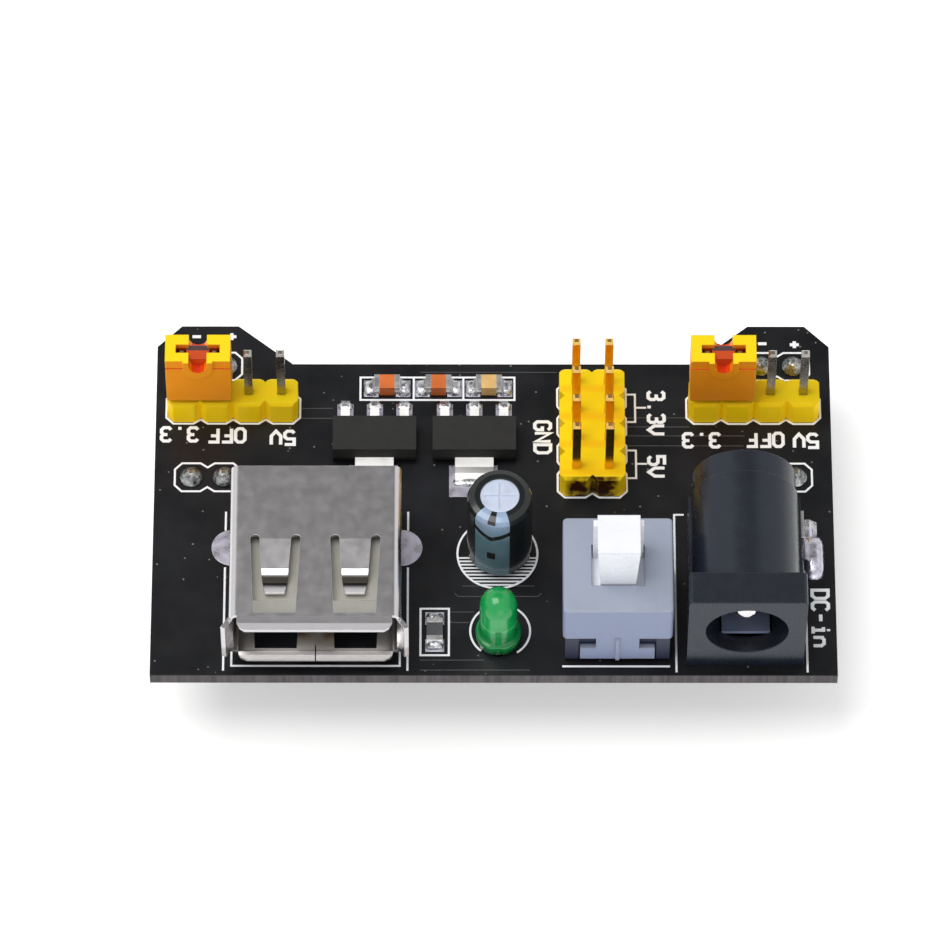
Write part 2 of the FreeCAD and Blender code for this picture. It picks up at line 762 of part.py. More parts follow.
def sleeve_contact_outline():
    """Side view of the leaf that touches the plug's sleeve."""
    low = "jack_axis_height - jack_bore_radius"
    return [
        ("jack_leaf_front", f"{low} + jack_leaf_lift"),
        ("jack_leaf_rear", f"{low} + jack_leaf_gap"),
        ("jack_leaf_rear", "-board_thick - lead_reach"),
        ("jack_leaf_rear + jack_strip", "-board_thick - lead_reach"),
        ("jack_leaf_rear + jack_strip", f"{low} + jack_leaf_gap + jack_strip"),
        ("jack_leaf_front", f"{low} + jack_leaf_lift + jack_strip"),
    ]


def make_jack_housing():
    housing = jack_body("dc_jack_housing")
    block = box_outline("0", "jack_block_height / 2", "jack_width", "jack_block_height")
    face = extrude(housing, "XZ", "-jack_block_depth", "jack_block_depth", [block])
    forward, up = Vector(0, 1, 0), Vector(0, 0, 1)
    top = mm("jack_block_height")
    round_edges(housing, face, "jack_corner", lambda edge: runs_along(edge, forward) and at_level(edge, up, top))
    barrel = [("0", "jack_axis_height", "jack_barrel_radius")]
    rear = "jack_length - jack_rear_length"
    extrude(housing, "XZ", f"-({rear})", f"{rear} - jack_block_depth", circles=barrel)
    rear_ring = [("0", "jack_axis_height", "jack_barrel_radius - jack_rear_step")]
    extrude(housing, "XZ", "-jack_length", "jack_rear_length", circles=rear_ring)
    base = box_outline("0", "jack_axis_height / 2", "jack_base_width", "jack_axis_height")
    extrude(housing, "XZ", f"-({rear})", f"{rear} - jack_block_depth", [base])
    bore = [("0", "jack_axis_height", "jack_bore_radius")]
    extrude(housing, "XZ", "-(jack_length - jack_rear_wall)", "jack_length - jack_rear_wall", circles=bore, cut=True)
    rivet = [("0", "jack_axis_height", "jack_rivet_radius")]
    extrude(housing, "XZ", "-jack_length", "jack_rear_wall", circles=rivet, cut=True)
    channel = [
        ("jack_leaf_front", "0"),
        ("jack_leaf_rear + jack_strip + jack_slot_gap", "0"),
        ("jack_leaf_rear + jack_strip + jack_slot_gap", "jack_axis_height - jack_bore_radius / 2"),
        ("jack_leaf_front", "jack_axis_height - jack_bore_radius / 2"),
    ]
    half = "jack_leaf_width / 2 + jack_slot_gap"
    extrude(housing, "YZ", f"-({half})", f"2 * ({half})", [channel], cut=True)


def make_jack_metal():
    pin = jack_body("dc_jack_center_pin")
    rear = "jack_length - jack_rear_wall"
    circle = [("0", "jack_axis_height", "jack_pin_radius")]
    shank = extrude(pin, "XZ", f"-({rear})", f"{rear} - jack_pin_recess", circles=circle)
    front = mm("jack_pin_recess")
    forward = Vector(0, 1, 0)
    round_edges(pin, shank, "jack_pin_radius * 0.6", lambda edge: at_level(edge, forward, front))
    rivet = [("0", "jack_axis_height", "jack_rivet_radius")]
    extrude(pin, "XZ", "-(jack_length + jack_strip)", "jack_rear_wall + jack_strip", circles=rivet)

    strip = jack_body("dc_jack_pin_terminal")
    low = "-board_thick - lead_reach"
    high = "jack_axis_height + jack_strip_width / 2"
    outline = box_outline("0", f"({high} + ({low})) / 2", "jack_strip_width", f"{high} - ({low})")
    extrude(strip, "XZ", "-(jack_length + jack_strip)", "jack_strip", [outline])
    extrude(strip, "XZ", "-(jack_length + jack_strip)", "jack_strip", circles=rivet, cut=True)

    sleeve = jack_body("dc_jack_sleeve_contact")
    half = "jack_leaf_width / 2"
    extrude(sleeve, "YZ", f"-{half}", "jack_leaf_width", [sleeve_contact_outline()])
    trims = [
        box_outline(f"{side}({half} + jack_strip_width / 2) / 2", "0",
                    f"{half} - jack_strip_width / 2", "3 * (board_thick + lead_reach)")
        for side in ("-", "")
    ]
    extrude(sleeve, "XZ", "-(jack_leaf_rear + 2 * jack_strip)", "3 * jack_strip", trims, cut=True)

    side = jack_body("dc_jack_switch_contact")
    high = "jack_axis_height - jack_blade_drop"
    blade = box_outline("jack_side_y", f"({high} + ({low})) / 2", "jack_strip_width", f"{high} - ({low})")
    extrude(side, "YZ", "jack_base_width / 2", "jack_strip", [blade])


# Push switch
def switch_body(name):
    return body(name, "switch_x", "switch_y", BOARD_TOP)


def make_switch_cover():
    cover = switch_body("switch_cover")
    up = Vector(0, 0, 1)
    square = box_outline("0", "0", "switch_side", "switch_side")
    block = extrude(cover, "XY", "switch_skirt", "switch_height - switch_skirt", [square])
    rounded = round_edges(cover, block, "switch_corner", lambda edge: runs_along(edge, up))
    document.recompute()
    top = rounded.Shape.BoundBox.ZMax
    round_edges(cover, rounded, "switch_edge", lambda edge: at_level(edge, up, top))
    inside = box_outline("0", "0", "switch_side - 2 * switch_wall", "switch_side - 2 * switch_wall")
    extrude(cover, "XY", "switch_skirt", "switch_height - switch_roof - switch_skirt", [inside], cut=True)
    opening = box_outline("0", "0", "wing_width + 2 * stem_gap", "stem_depth + 2 * stem_gap")
    extrude(cover, "XY", "switch_height - switch_roof", "switch_roof", [opening], cut=True)
    for start in ("switch_side / 2 - clip_leg_sheet", "-switch_side / 2"):
        leg = [
            ("-clip_leg_width / 2", "switch_skirt"),
            ("-clip_leg_width / 2", "clip_foot_high"),
            ("-clip_foot_width / 2", "clip_foot_high"),
            ("-clip_foot_width / 2", "clip_foot_low"),
            ("clip_foot_width / 2", "clip_foot_low"),
            ("clip_foot_width / 2", "clip_foot_high"),
            ("clip_leg_width / 2", "clip_foot_high"),
            ("clip_leg_width / 2", "switch_skirt"),
        ]
        extrude(cover, "XZ", start, "clip_leg_sheet", [leg])
    rib = box_outline("0", "(switch_skirt + clip_foot_low) / 2", "clip_rib", "switch_skirt - clip_foot_low")
    extrude(cover, "XZ", "switch_side / 2", "clip_rib_rise", [rib])


def make_switch_base():
    base = switch_body("switch_base")
    lower = box_outline("0", "0", "switch_side - 2 * switch_step", "switch_side - 2 * switch_step")
    extrude(base, "XY", "switch_standoff", "switch_skirt - switch_gap - switch_standoff", [lower])
    upper_side = "switch_side - 2 * switch_wall - 2 * switch_gap"
    upper = box_outline("0", "0", upper_side, upper_side)
    extrude(base, "XY", "switch_skirt - switch_gap", "base_top - switch_skirt + switch_gap", [upper])
    inside = f"{upper_side} - 2 * base_wall"
    extrude(base, "XY", "switch_floor", "base_top - switch_floor", [box_outline("0", "0", inside, inside)], cut=True)
    recess = box_outline("0", "switch_skirt / 2", "clip_foot_width + 2 * switch_gap", "switch_skirt")
    depth = "clip_leg_sheet - switch_step + clip_leg_gap"
    extrude(base, "XZ", f"switch_side / 2 - switch_step - ({depth})", depth, [recess], cut=True)
    extrude(base, "XZ", "-(switch_side / 2 - switch_step)", depth, [recess], cut=True)
    foot = "switch_side - 2 * switch_step - 2 * switch_foot_inset"
    extrude(base, "XY", "0", "switch_standoff", [box_outline("0", "0", foot, foot)])
    holes = [
        box_outline(x, y, "terminal_width", "terminal_sheet")
        for x in ("-terminal_x", "terminal_x") for y in ("-terminal_y", "0", "terminal_y")
    ]
    extrude(base, "XY", "0", "switch_floor", holes, cut=True)


def make_switch_insides():
    terminals = switch_body("switch_terminals")
    places = [(x, y) for x in ("-terminal_x", "terminal_x") for y in ("-terminal_y", "0", "terminal_y")]
    blades = [box_outline(x, y, "terminal_width", "terminal_sheet") for x, y in places]
    low = "-board_thick - lead_reach"
    roof = "switch_height - switch_roof - switch_gap"
    top = f"{roof} - carriage_thick"
    reach = f"{top} - bridge_sheet - switch_travel - switch_gap"
    extrude(terminals, "XY", low, f"{reach} - ({low})", blades)

    plunger = switch_body("switch_plunger")
    carriage = box_outline("0", "0", "carriage_width", "carriage_width")
    extrude(plunger, "XY", top, "carriage_thick", [carriage])
    stem = [
        ("-stem_neck / 2", roof),
        ("stem_neck / 2", roof),
        ("stem_neck / 2", "switch_height"),
        ("stem_width / 2", "switch_height + stem_rise"),
        ("-stem_width / 2", "switch_height + stem_rise"),
        ("-stem_neck / 2", "switch_height"),
    ]
    extrude(plunger, "XZ", "-stem_depth / 2", "stem_depth", [stem])
    wing_y = "(stem_depth - wing_depth) / 2"
    wings = box_outline("0", wing_y, "wing_width", "wing_depth")
    extrude(plunger, "XY", roof, f"switch_height + wing_rise - ({roof})", [wings])

    wall = "(switch_side - 2 * switch_wall - 2 * switch_gap - 2 * base_wall) / 2"
    groove_floor = f"{wall} - latch_wire - switch_gap"
    groove = box_outline("0", "carriage_width / 2", "3 * latch_wire", f"carriage_width - 2 * ({groove_floor})")
    extrude(plunger, "XY", top, "carriage_thick", [groove], cut=True)

    bridges = switch_body("switch_bridges")
    for side in ("-", ""):
        strip = [
            ("-terminal_y", top),
            ("-terminal_y", f"{top} - bridge_sheet"),
            ("terminal_y", f"{top} - bridge_sheet"),
            ("terminal_y", top),
        ]
        extrude(bridges, "YZ", f"{side}terminal_x - bridge_width / 2", "bridge_width", [strip])

    latch = switch_body("switch_latch_pin")
    wire = [("0", f"{wall} - latch_wire / 2", "latch_wire / 2")]
    extrude(latch, "XY", "switch_floor", "base_top - switch_floor - latch_drop", circles=wire)


def make_switch_spring():
    """Coil spring between the base's floor and the plunger's carriage."""
    roof = mm("switch_height") - mm("switch_roof") - mm("switch_gap")
    wire = mm("spring_wire")
    low = mm("switch_floor") + wire / 2
    high = roof - mm("carriage_thick") - wire / 2
    helix = Part.makeHelix((high - low) / mm("spring_turns"), high - low, mm("spring_radius"))
    start = Vector(mm("spring_radius"), 0, 0)
    section = Part.Wire(Part.makeCircle(wire / 2, start, Vector(0, 1, 0)))
    spring = piece("Part::Feature", "switch_spring")
    spring.Shape = Part.Wire(helix).makePipeShell([section], True, True)
    place(spring, "switch_x", "switch_y", f"{BOARD_TOP} + switch_floor + spring_wire / 2")


# Reservoir capacitor
def revolve(owner, corners):
    """A turned solid about the body's Z axis, from its half section in X and Z."""
    sketch = sketch_on(owner, "XZ", "0")
    draw_outline(sketch, corners)
    turned = owner.newObject("PartDesign::Revolution", "Turned")
    turned.Profile = sketch
    turned.ReferenceAxis = (sketch, ["V_Axis"])
    turned.Angle = 360
    return turned


def can_body(name):
    return body(name, "can_x", "can_y", f"{BOARD_TOP} + can_standoff")


def make_capacitor():
    can = can_body("capacitor_can")
    groove = "seal_height + can_groove"
    skirt = "can_radius - can_skirt"
    revolve(can, [
        ("0", "seal_height"),
        (skirt, "seal_height"),
        (skirt, "0"),
        ("can_radius", "0"),
        ("can_radius", groove),
        ("can_radius - can_groove", f"{groove} + can_groove"),
        ("can_radius", f"{groove} + 2 * can_groove"),
        ("can_radius", "can_height - can_shoulder"),
        ("can_radius - shoulder_cut", "can_height - shoulder_cut"),
        ("can_radius - can_shoulder", "can_height"),
        ("0", "can_height"),
    ])
    score = "can_height - can_score_depth"
    for wide, deep in (("can_score_length", "can_score"), ("can_score", "can_score_length")):
        extrude(can, "XY", score, "can_score_depth", [box_outline("0", "0", wide, deep)], cut=True)
    seal = can_body("capacitor_seal")
    thick = "seal_height - seal_recess"
    extrude(seal, "XY", "seal_recess", thick, circles=[("0", "0", skirt)])
    leads_at = [("-can_lead_gap / 2", "0"), ("can_lead_gap / 2", "0")]
    bores = [(x, y, "can_lead_radius") for x, y in leads_at]
    extrude(seal, "XY", "seal_recess", thick, circles=bores, cut=True)
    sleeve = can_body("capacitor_sleeve")
    outer = "can_radius + sleeve_wall"
    revolve(sleeve, [
        ("can_radius", "sleeve_foot"),
        (outer, "sleeve_foot"),
        (outer, "can_height - can_shoulder"),
        (f"{outer} - shoulder_cut", "can_height + sleeve_wall - shoulder_cut"),
        ("can_radius - can_shoulder", "can_height + sleeve_wall"),
        ("can_radius - can_shoulder - sleeve_overlap", "can_height + sleeve_wall"),
        ("can_radius - can_shoulder - sleeve_overlap", "can_height"),
        ("can_radius - can_shoulder", "can_height"),
        ("can_radius - shoulder_cut", "can_height - shoulder_cut"),
        ("can_radius", "can_height - can_shoulder"),
    ])
    leads = can_body("capacitor_leads")
    low = "-can_standoff - board_thick - lead_reach"
    extrude(leads, "XY", low, f"seal_height - ({low})", circles=bores)


# Indicator lamp
def make_lamp():
    x, y, z = "lamp_x", "lamp_y", f"{BOARD_TOP} + lamp_standoff"
    lens = body("led_lens", x, y, z)
    revolve(lens, [
        ("0", "0"),
        ("lamp_flange_radius", "0"),
        ("lamp_flange_radius", "lamp_flange"),
        ("lamp_radius", "lamp_flange"),
        ("lamp_radius", "lamp_height - lamp_radius"),
        ("0", "lamp_height - lamp_radius"),
    ])
    ball_sketch = sketch_on(lens, "XZ", "0")
    make_dome(ball_sketch)
    ball = lens.newObject("PartDesign::Revolution", "Dome")
    ball.Profile = ball_sketch
    ball.ReferenceAxis = (ball_sketch, ["V_Axis"])
    ball.Angle = 360
    flat = box_outline("0", "-lamp_flange_radius", "3 * lamp_flange_radius", "2 * (lamp_flange_radius - lamp_flat)")
    extrude(lens, "XY", "0", "lamp_flange", [flat], cut=True)
    frames = (("-", "lamp_cup_inner"), ("", "lamp_post_inner"))
    start = "-lamp_lead_side / 2"
    for sign, inner in frames:
        extrude(lens, "YZ", start, "lamp_lead_side", [lamp_frame(sign, inner, "0")], cut=True)
    leads = body("led_leads", x, y, z)
    low = "-lamp_standoff - board_thick - lead_reach"
    for sign, inner in frames:
        extrude(leads, "YZ", start, "lamp_lead_side", [lamp_frame(sign, inner, low)])


def lamp_frame(sign, inner, low):
    """Side view of one lead, with the plate inside the lens that carries the light."""
    outer = "(lamp_lead_gap / 2 + lamp_lead_side / 2)"
    neck = "(lamp_lead_gap / 2 - lamp_lead_side / 2)"
    return [
        (f"{sign}{outer}", low),
        (f"{sign}{outer}", "lamp_cup_height"),
        (f"{sign}({inner})", "lamp_cup_height"),
        (f"{sign}({inner})", "lamp_cup_height - lamp_cup_rim"),
        (f"{sign}{neck}", "lamp_cup_height - lamp_cup_rim - lamp_cup_slope"),
        (f"{sign}{neck}", low),
    ]


def make_dome(sketch):
    """Quarter circle that turns into the lens's domed top."""
    radius = mm("lamp_radius")
    middle = mm("lamp_height") - radius
    centre = Vector(0, middle, 0)
    arc = sketch.addGeometry(Part.ArcOfCircle(Part.Circle(centre, Vector(0, 0, 1), radius), 0, 1.5707963), False)
    down = sketch.addGeometry(Part.LineSegment(Vector(0, middle + radius, 0), centre), False)
    out = sketch.addGeometry(Part.LineSegment(centre, Vector(radius, middle, 0)), False)
    sketch.addConstraint(Sketcher.Constraint("Coincident", arc, 2, down, 1))
    sketch.addConstraint(Sketcher.Constraint("Coincident", down, 2, out, 1))
    sketch.addConstraint(Sketcher.Constraint("Coincident", out, 2, arc, 1))
    sketch.addConstraint(Sketcher.Constraint("Coincident", arc, 3, out, 1))
    bind(sketch, "DistanceX", (out, 1), 0, "0")
    bind(sketch, "DistanceY", (out, 1), middle, "lamp_height - lamp_radius")
    bind(sketch, "DistanceX", (out, 2), radius, "lamp_radius")
    bind(sketch, "DistanceY", (out, 2), middle, "lamp_height - lamp_radius")
    bind(sketch, "DistanceX", (down, 1), 0, "0")


# Chip parts
def chip(name, x, y, height, along_y=False):
    owner = body(name, x, y, f"{BOARD_TOP} + chip_lift")
    middle = "chip_length - 2 * chip_end"
    wide, deep = ("chip_width", middle) if along_y else (middle, "chip_width")
    extrude(owner, "XY", "0", height, [box_outline("0", "0", wide, deep)])


def chip_ends(name, parts, height, along_y=False):
    """The metal end caps of one or more chip parts, as one group."""
    owner = body(name, z=f"{BOARD_TOP} + chip_lift")
    ends = []
    for x, y in parts:
        for sign in "-+":
            shift = f"{sign} (chip_length - chip_end) / 2"
            if along_y:
                ends.append(box_outline(x, f"{y} {shift}", "chip_width", "chip_end"))
            else:
                ends.append(box_outline(f"{x} {shift}", y, "chip_end", "chip_width"))
    extrude(owner, "XY", "0", height, ends)


def make_chips():
    chip("resistor", "resistor_x", "resistor_y", "resistor_height", along_y=True)
    chip_ends("resistor_ends", [("resistor_x", "resistor_y")], "resistor_height", along_y=True)
    for side in ("left", "middle", "right"):
        chip(f"chip_capacitor_{side}", f"chip_{side}_x", "chip_row_y", "chip_cap_height")
    places = [(f"chip_{side}_x", "chip_row_y") for side in ("left", "middle", "right")]
    chip_ends("chip_capacitor_ends", places, "chip_cap_height")


# Voltage regulators
def lead_outline(sign, reach):
    """Side view of a gull-wing lead that leaves the moulding at its parting line."""
    face = "regulator_depth / 2 - regulator_draft"
    line = "regulator_part_line"
    bend = f"{reach} - regulator_foot"
    points = [
        (face, line),
        (bend, line),
        (f"{bend} + regulator_sheet", "regulator_sheet - regulator_lift"),
        (reach, "regulator_sheet - regulator_lift"),
        (reach, "-regulator_lift"),
        (bend, "-regulator_lift"),
        (f"{bend} - regulator_sheet", f"{line} - regulator_sheet"),
        (face, f"{line} - regulator_sheet"),
    ]
    return [(f"{sign}({y})", z) for y, z in points]


def make_regulator(side):
    x, z = f"regulator_{side}_x", f"{BOARD_TOP} + regulator_lift"
    moulding = body(f"regulator_{side}", x, "regulator_y", z)
    half = "regulator_depth / 2"
    profile = [
        (f"-{half} + regulator_draft", "0"),
        (f"{half} - regulator_draft", "0"),
        (half, "regulator_part_line"),
        (f"{half} - regulator_draft", "regulator_height"),
        (f"-{half} + regulator_draft", "regulator_height"),
        (f"-{half}", "regulator_part_line"),
    ]
    extrude(moulding, "YZ", "-regulator_width / 2", "regulator_width", [profile])
    leads = body(f"regulator_{side}_leads", x, "regulator_y", z)
    reach = "regulator_span / 2"
    for offset in ("-regulator_pitch", "0", "regulator_pitch"):
        start = f"{offset} - regulator_lead_width / 2"
        extrude(leads, "YZ", start, "regulator_lead_width", [lead_outline("", reach)])
        extrude(moulding, "YZ", start, "regulator_lead_width", [lead_outline("", reach)], cut=True)
    start = "-regulator_tab_width / 2"
    extrude(leads, "YZ", start, "regulator_tab_width", [lead_outline("-", reach)])
    extrude(moulding, "YZ", start, "regulator_tab_width", [lead_outline("-", reach)], cut=True)


# Solder
def cones(name, z, up, places, radius="fillet_radius", height="fillet_height"):
    """Solder fillets round square or round leads, as one group of turned cones."""
    owner = body(name, z=z)
    start = "0" if up else f"-{height}"
    discs = [(x, y, radius) for x, y in places]
    pads = extrude(owner, "XY", start, height, circles=discs)
    document.recompute()
    level = pads.Shape.BoundBox.ZMax if up else pads.Shape.BoundBox.ZMin
    axis = Vector(0, 0, 1)
    bevel_edges(owner, pads, "fillet_slope", lambda edge: at_level(edge, axis, level))
    return owner


def make_solder():
    top = cones("solder_rail_pins", BOARD_TOP, True, rail_pin_places())
    squares = [box_outline(x, y, "pin_side", "pin_side") for x, y in rail_pin_places()]
    extrude(top, "XY", "0", "fillet_height", squares, cut=True)
    places = selector_pin_places() + output_pin_places()
    under = cones("solder_header_pins", "carrier_height", False, places)
    squares = [box_outline(x, y, "pin_side", "pin_side") for x, y in places]
    extrude(under, "XY", "-fillet_height", "fillet_height", squares, cut=True)
    small = cones("solder_part_leads", "carrier_height", False,
                  usb_contact_places() + terminal_places() + lamp_lead_places() + can_lead_places())
    flats = [box_outline(x, y, "contact_width", "contact_sheet") for x, y in usb_contact_places()]
    flats += [box_outline(x, y, "terminal_width", "terminal_sheet") for x, y in terminal_places()]
    flats += [box_outline(x, y, "lamp_lead_side", "lamp_lead_side") for x, y in lamp_lead_places()]
    rounds = [(x, y, "can_lead_radius") for x, y in can_lead_places()]
    extrude(small, "XY", "-fillet_height", "fillet_height", flats, rounds, cut=True)


def make_blade_solder():
    """Solder round the wide blades, under the board, and the joint beside the jack."""
    owner = body("solder_blades", z="carrier_height")
    feet = [box_outline(x, y, f"{wide} + 2 * blade_fillet", f"{deep} + 2 * blade_fillet")
            for x, y, wide, deep in blade_places()]
    start = "-blade_fillet_height"
    under = extrude(owner, "XY", start, "blade_fillet_height", feet)
    document.recompute()
    level, up = under.Shape.BoundBox.ZMin, Vector(0, 0, 1)
    bevel_edges(owner, under, "blade_fillet_slope", lambda edge: at_level(edge, up, level))
    blades = [box_outline(*place) for place in blade_places()]
    extrude(owner, "XY", start, "blade_fillet_height", blades, cut=True)
    left = "jack_x + jack_base_width / 2 + jack_strip"
    middle = "jack_side_y - jack_front"
    joint = [
        (left, "board_thick"),
        (f"{left} + side_joint_width", "board_thick"),
        (f"{left} + side_joint_width / 2", "board_thick + side_joint_height"),
        (left, "board_thick + side_joint_height"),
    ]
    extrude(owner, "XZ", f"-({middle}) - side_joint_length / 2", "side_joint_length", [joint])


def make_surface_solder():
    """Small wedges of solder at the ends of the chips and at the regulators' feet."""
    owner = body("solder_surface_parts", z=BOARD_TOP)
    run = "chip_fillet_run"
    ends = []
    for side in ("left", "middle", "right"):
        for sign in "-+":
            end = f"chip_{side}_x {sign} chip_length / 2"
            ends.append([(end, "0"), (f"{end} {sign} {run}", "0"), (end, "chip_fillet_rise")])
    extrude(owner, "XZ", "-chip_row_y - chip_width / 2", "chip_width", ends)
    ends = []
    for sign in "-+":
        end = f"resistor_y {sign} chip_length / 2"
        ends.append([(end, "0"), (f"{end} {sign} {run}", "0"), (end, "resistor_height")])
    extrude(owner, "YZ", "resistor_x - chip_width / 2", "chip_width", ends)
    rear, front = "regulator_y + regulator_span / 2", "regulator_y - regulator_span / 2"
    toe = [(rear, "0"), (f"{rear} + foot_fillet_run", "0"), (rear, "regulator_sheet")]
    heel = [(front, "0"), (f"{front} - foot_fillet_run", "0"), (front, "regulator_sheet")]
    for side in ("left", "right"):
        middle = f"regulator_{side}_x"
        for offset in ("-regulator_pitch", "0", "regulator_pitch"):
            start = f"{middle} + {offset} - regulator_lead_width / 2"
            extrude(owner, "YZ", start, "regulator_lead_width", [toe])
        extrude(owner, "YZ", f"{middle} - regulator_tab_width / 2", "regulator_tab_width", [heel])


make_board()
make_headers()
for selector_side, selector_x in SELECTOR_SIDES:
    make_jumper(selector_side, selector_x)
make_usb_shell()
make_usb_insides()
make_jack_housing()
make_jack_metal()
make_switch_cover()
make_switch_base()
make_switch_insides()
make_switch_spring()
make_capacitor()
make_lamp()
make_chips()
make_regulator("left")
make_regulator("right")
make_solder()
make_blade_solder()
make_surface_solder()

document.recompute()
for item in document.Objects:
    if "Invalid" in item.State or "Error" in item.State:
        raise RuntimeError(f"{item.Name} in {item.InList[0].Label if item.InList else 'the document'} failed")
for item in pieces:
    if item.Shape.isNull() or not item.Shape.isValid():
        raise RuntimeError(f"{item.Label} has no valid shape")
os.makedirs("parts", exist_ok=True)
for item in pieces:
    item.Shape.exportStep(f"parts/{item.Label}.step")
    print(item.Label, len(item.Shape.Solids), round(item.Shape.Volume, 3))
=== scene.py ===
"""Plug-in supply board for a solderless breadboard: finishes, legends, solder and a studio."""
import math

import bpy
from bpy.props import FloatProperty, FloatVectorProperty, PointerProperty
from mathutils import Matrix, Vector


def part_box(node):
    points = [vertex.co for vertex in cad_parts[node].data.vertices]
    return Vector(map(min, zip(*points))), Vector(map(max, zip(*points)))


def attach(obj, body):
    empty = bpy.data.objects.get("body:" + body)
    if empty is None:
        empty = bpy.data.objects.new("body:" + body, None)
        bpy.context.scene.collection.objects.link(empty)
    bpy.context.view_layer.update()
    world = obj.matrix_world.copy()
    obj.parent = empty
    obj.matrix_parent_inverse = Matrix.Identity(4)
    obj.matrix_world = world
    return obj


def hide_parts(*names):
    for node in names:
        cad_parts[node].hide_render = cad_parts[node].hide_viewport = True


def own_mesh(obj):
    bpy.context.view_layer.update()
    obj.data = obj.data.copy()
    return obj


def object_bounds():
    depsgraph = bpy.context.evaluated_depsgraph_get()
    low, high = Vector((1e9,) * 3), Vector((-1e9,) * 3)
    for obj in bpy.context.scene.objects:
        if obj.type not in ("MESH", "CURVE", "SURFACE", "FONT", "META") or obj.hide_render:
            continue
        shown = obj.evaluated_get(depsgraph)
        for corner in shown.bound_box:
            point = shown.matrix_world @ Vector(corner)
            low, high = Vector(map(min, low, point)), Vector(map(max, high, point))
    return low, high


bl_info = {
    "name": "Breadboard Supply Board",
    "version": (1, 0, 0),
    "blender": (4, 5, 0),
    "location": "View3D > Sidebar > Supply Board",
    "description": "Finishes, printed legends, solder and a studio for a plug-in supply board",
    "category": "Object",
}

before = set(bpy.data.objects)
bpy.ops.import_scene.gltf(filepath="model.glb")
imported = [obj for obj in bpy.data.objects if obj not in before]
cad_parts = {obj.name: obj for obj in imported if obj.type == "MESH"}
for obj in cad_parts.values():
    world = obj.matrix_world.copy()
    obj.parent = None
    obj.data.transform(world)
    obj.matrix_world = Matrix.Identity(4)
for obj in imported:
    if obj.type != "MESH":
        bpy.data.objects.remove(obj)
CAD_BOX = [list(corner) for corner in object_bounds()]
MM = 0.001
BOARD_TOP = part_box("circuit_board")[1].z / MM
BOARD_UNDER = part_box("circuit_board")[0].z / MM
PITCH = 2.54
BLACK = (0.0, 0.0, 0.0)


def centre(node):
    """Middle of a CAD node at rest, in millimetres."""
    low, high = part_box(node)
    return (low + high) / 2 / MM


# Sizes and colours a user would change
def colour(name, description, default):
    return FloatVectorProperty(name=name, description=description, subtype="COLOR", size=3, min=0, max=1,
                               default=default)


def length(name, description, default):
    return FloatProperty(name=name, description=description, default=default * MM, min=0, unit="LENGTH",
                         precision=5)


def angle(name, description, degrees):
    return FloatProperty(name=name, description=description, unit="ROTATION", default=math.radians(degrees))


class SupplyBoardSizes(bpy.types.PropertyGroup):
    legend_line: length("Legend line", "Width of the printed lines", 0.16)
    legend_stroke: length("Letter stroke", "Width of the strokes of the printed letters", 0.27)
    legend_height: length("Letter height", "Height of the printed letters between stroke centres", 1.22)
    legend_advance: length("Letter advance", "Distance from one printed letter to the next", 1.05)
    ink_thickness: length("Ink thickness", "Height of the printing above the board", 0.02)
    trace_width: length("Trace width", "Width of the raised edges of the copper under the mask", 0.07)
    joint_radius: length("Joint radius", "Radius of the solder joints round the rail pins", 0.95)


class SupplyBoardColours(bpy.types.PropertyGroup):
    mask: colour("Solder mask", "Colour of the board's faces", (0.0042, 0.0046, 0.0060))
    cut_edge: colour("Cut edge", "Colour of the board's cut edge", (0.066, 0.060, 0.063))
    trace: colour("Trace edge", "Colour of the mask over the edges of the copper", (0.075, 0.075, 0.075))
    bare_pad: colour("Bare pad", "Colour of the tinned pads", (0.62, 0.60, 0.70))
    legend: colour("Legend", "Colour of the printing", (0.95, 0.97, 1.0))
    # The header tops are paler than the walls: painted light and shade on one plastic.
    header: colour("Header block", "Colour of the tops of the yellow header mouldings", (1.0, 0.73, 0.003))
    header_wall: colour("Header wall", "Colour of the yellow header mouldings' sides", (1.0, 0.66, 0.002))
    scorch: colour("Header stain", "Colour of the stain on the output block", (0.06, 0.012, 0.001))
    jumper: colour("Jumper cap", "Colour of the jumper caps' walls", (1.0, 0.34, 0.008))
    jumper_top: colour("Jumper top", "Colour of the jumper caps' thin tops", (1.0, 0.70, 0.002))
    carrier: colour("Pin carrier", "Colour of the black carriers under the board", (0.012, 0.012, 0.013))
    jack: colour("Jack", "Colour of the jack's moulding", (0.019, 0.021, 0.029))
    switch: colour("Switch cover", "Colour of the switch's cover", (0.33, 0.37, 0.47))
    switch_base: colour("Switch base", "Colour of the switch's base", (0.0205, 0.0263, 0.0605))
    plunger: colour("Plunger", "Colour of the switch's plunger", (0.93, 0.95, 1.0))
    lens: colour("Lens", "Colour of the lamp's lens", (0.003, 0.42, 0.09))
    sleeve: colour("Sleeve", "Colour of the capacitor's sleeve", (0.010, 0.013, 0.013))
    stripe: colour("Sleeve stripe", "Colour of the capacitor's pale stripe", (0.36, 0.47, 0.66))
    ceramic: colour("Chip ceramic", "Colour of the two brown chip capacitors", (0.78, 0.17, 0.02))
    tan_ceramic: colour("Tan ceramic", "Colour of the third chip capacitor", (0.86, 0.54, 0.20))


class SupplyBoardStudio(bpy.types.PropertyGroup):
    azimuth: angle("Azimuth", "Turn of the view about the vertical", -0.17)
    elevation: angle("Elevation", "Height of the view above the horizon", 58.84)
    roll: angle("Roll", "Turn of the picture about the line of sight", 0.18)
    distance: FloatProperty(name="Distance", description="Camera to target", unit="LENGTH", default=0.595)
    lens: FloatProperty(name="Lens", description="Focal length", unit="CAMERA", default=289.97)
    key: FloatProperty(name="Key lamp", description="Power of the soft lamp above", unit="POWER", default=1.6)
    fill: FloatProperty(name="Fill lamp", description="Power of the front lamp", unit="POWER", default=0.22)
    sky: FloatProperty(name="Sky", description="Level of the studio's even light", min=0, max=2, default=0.56)


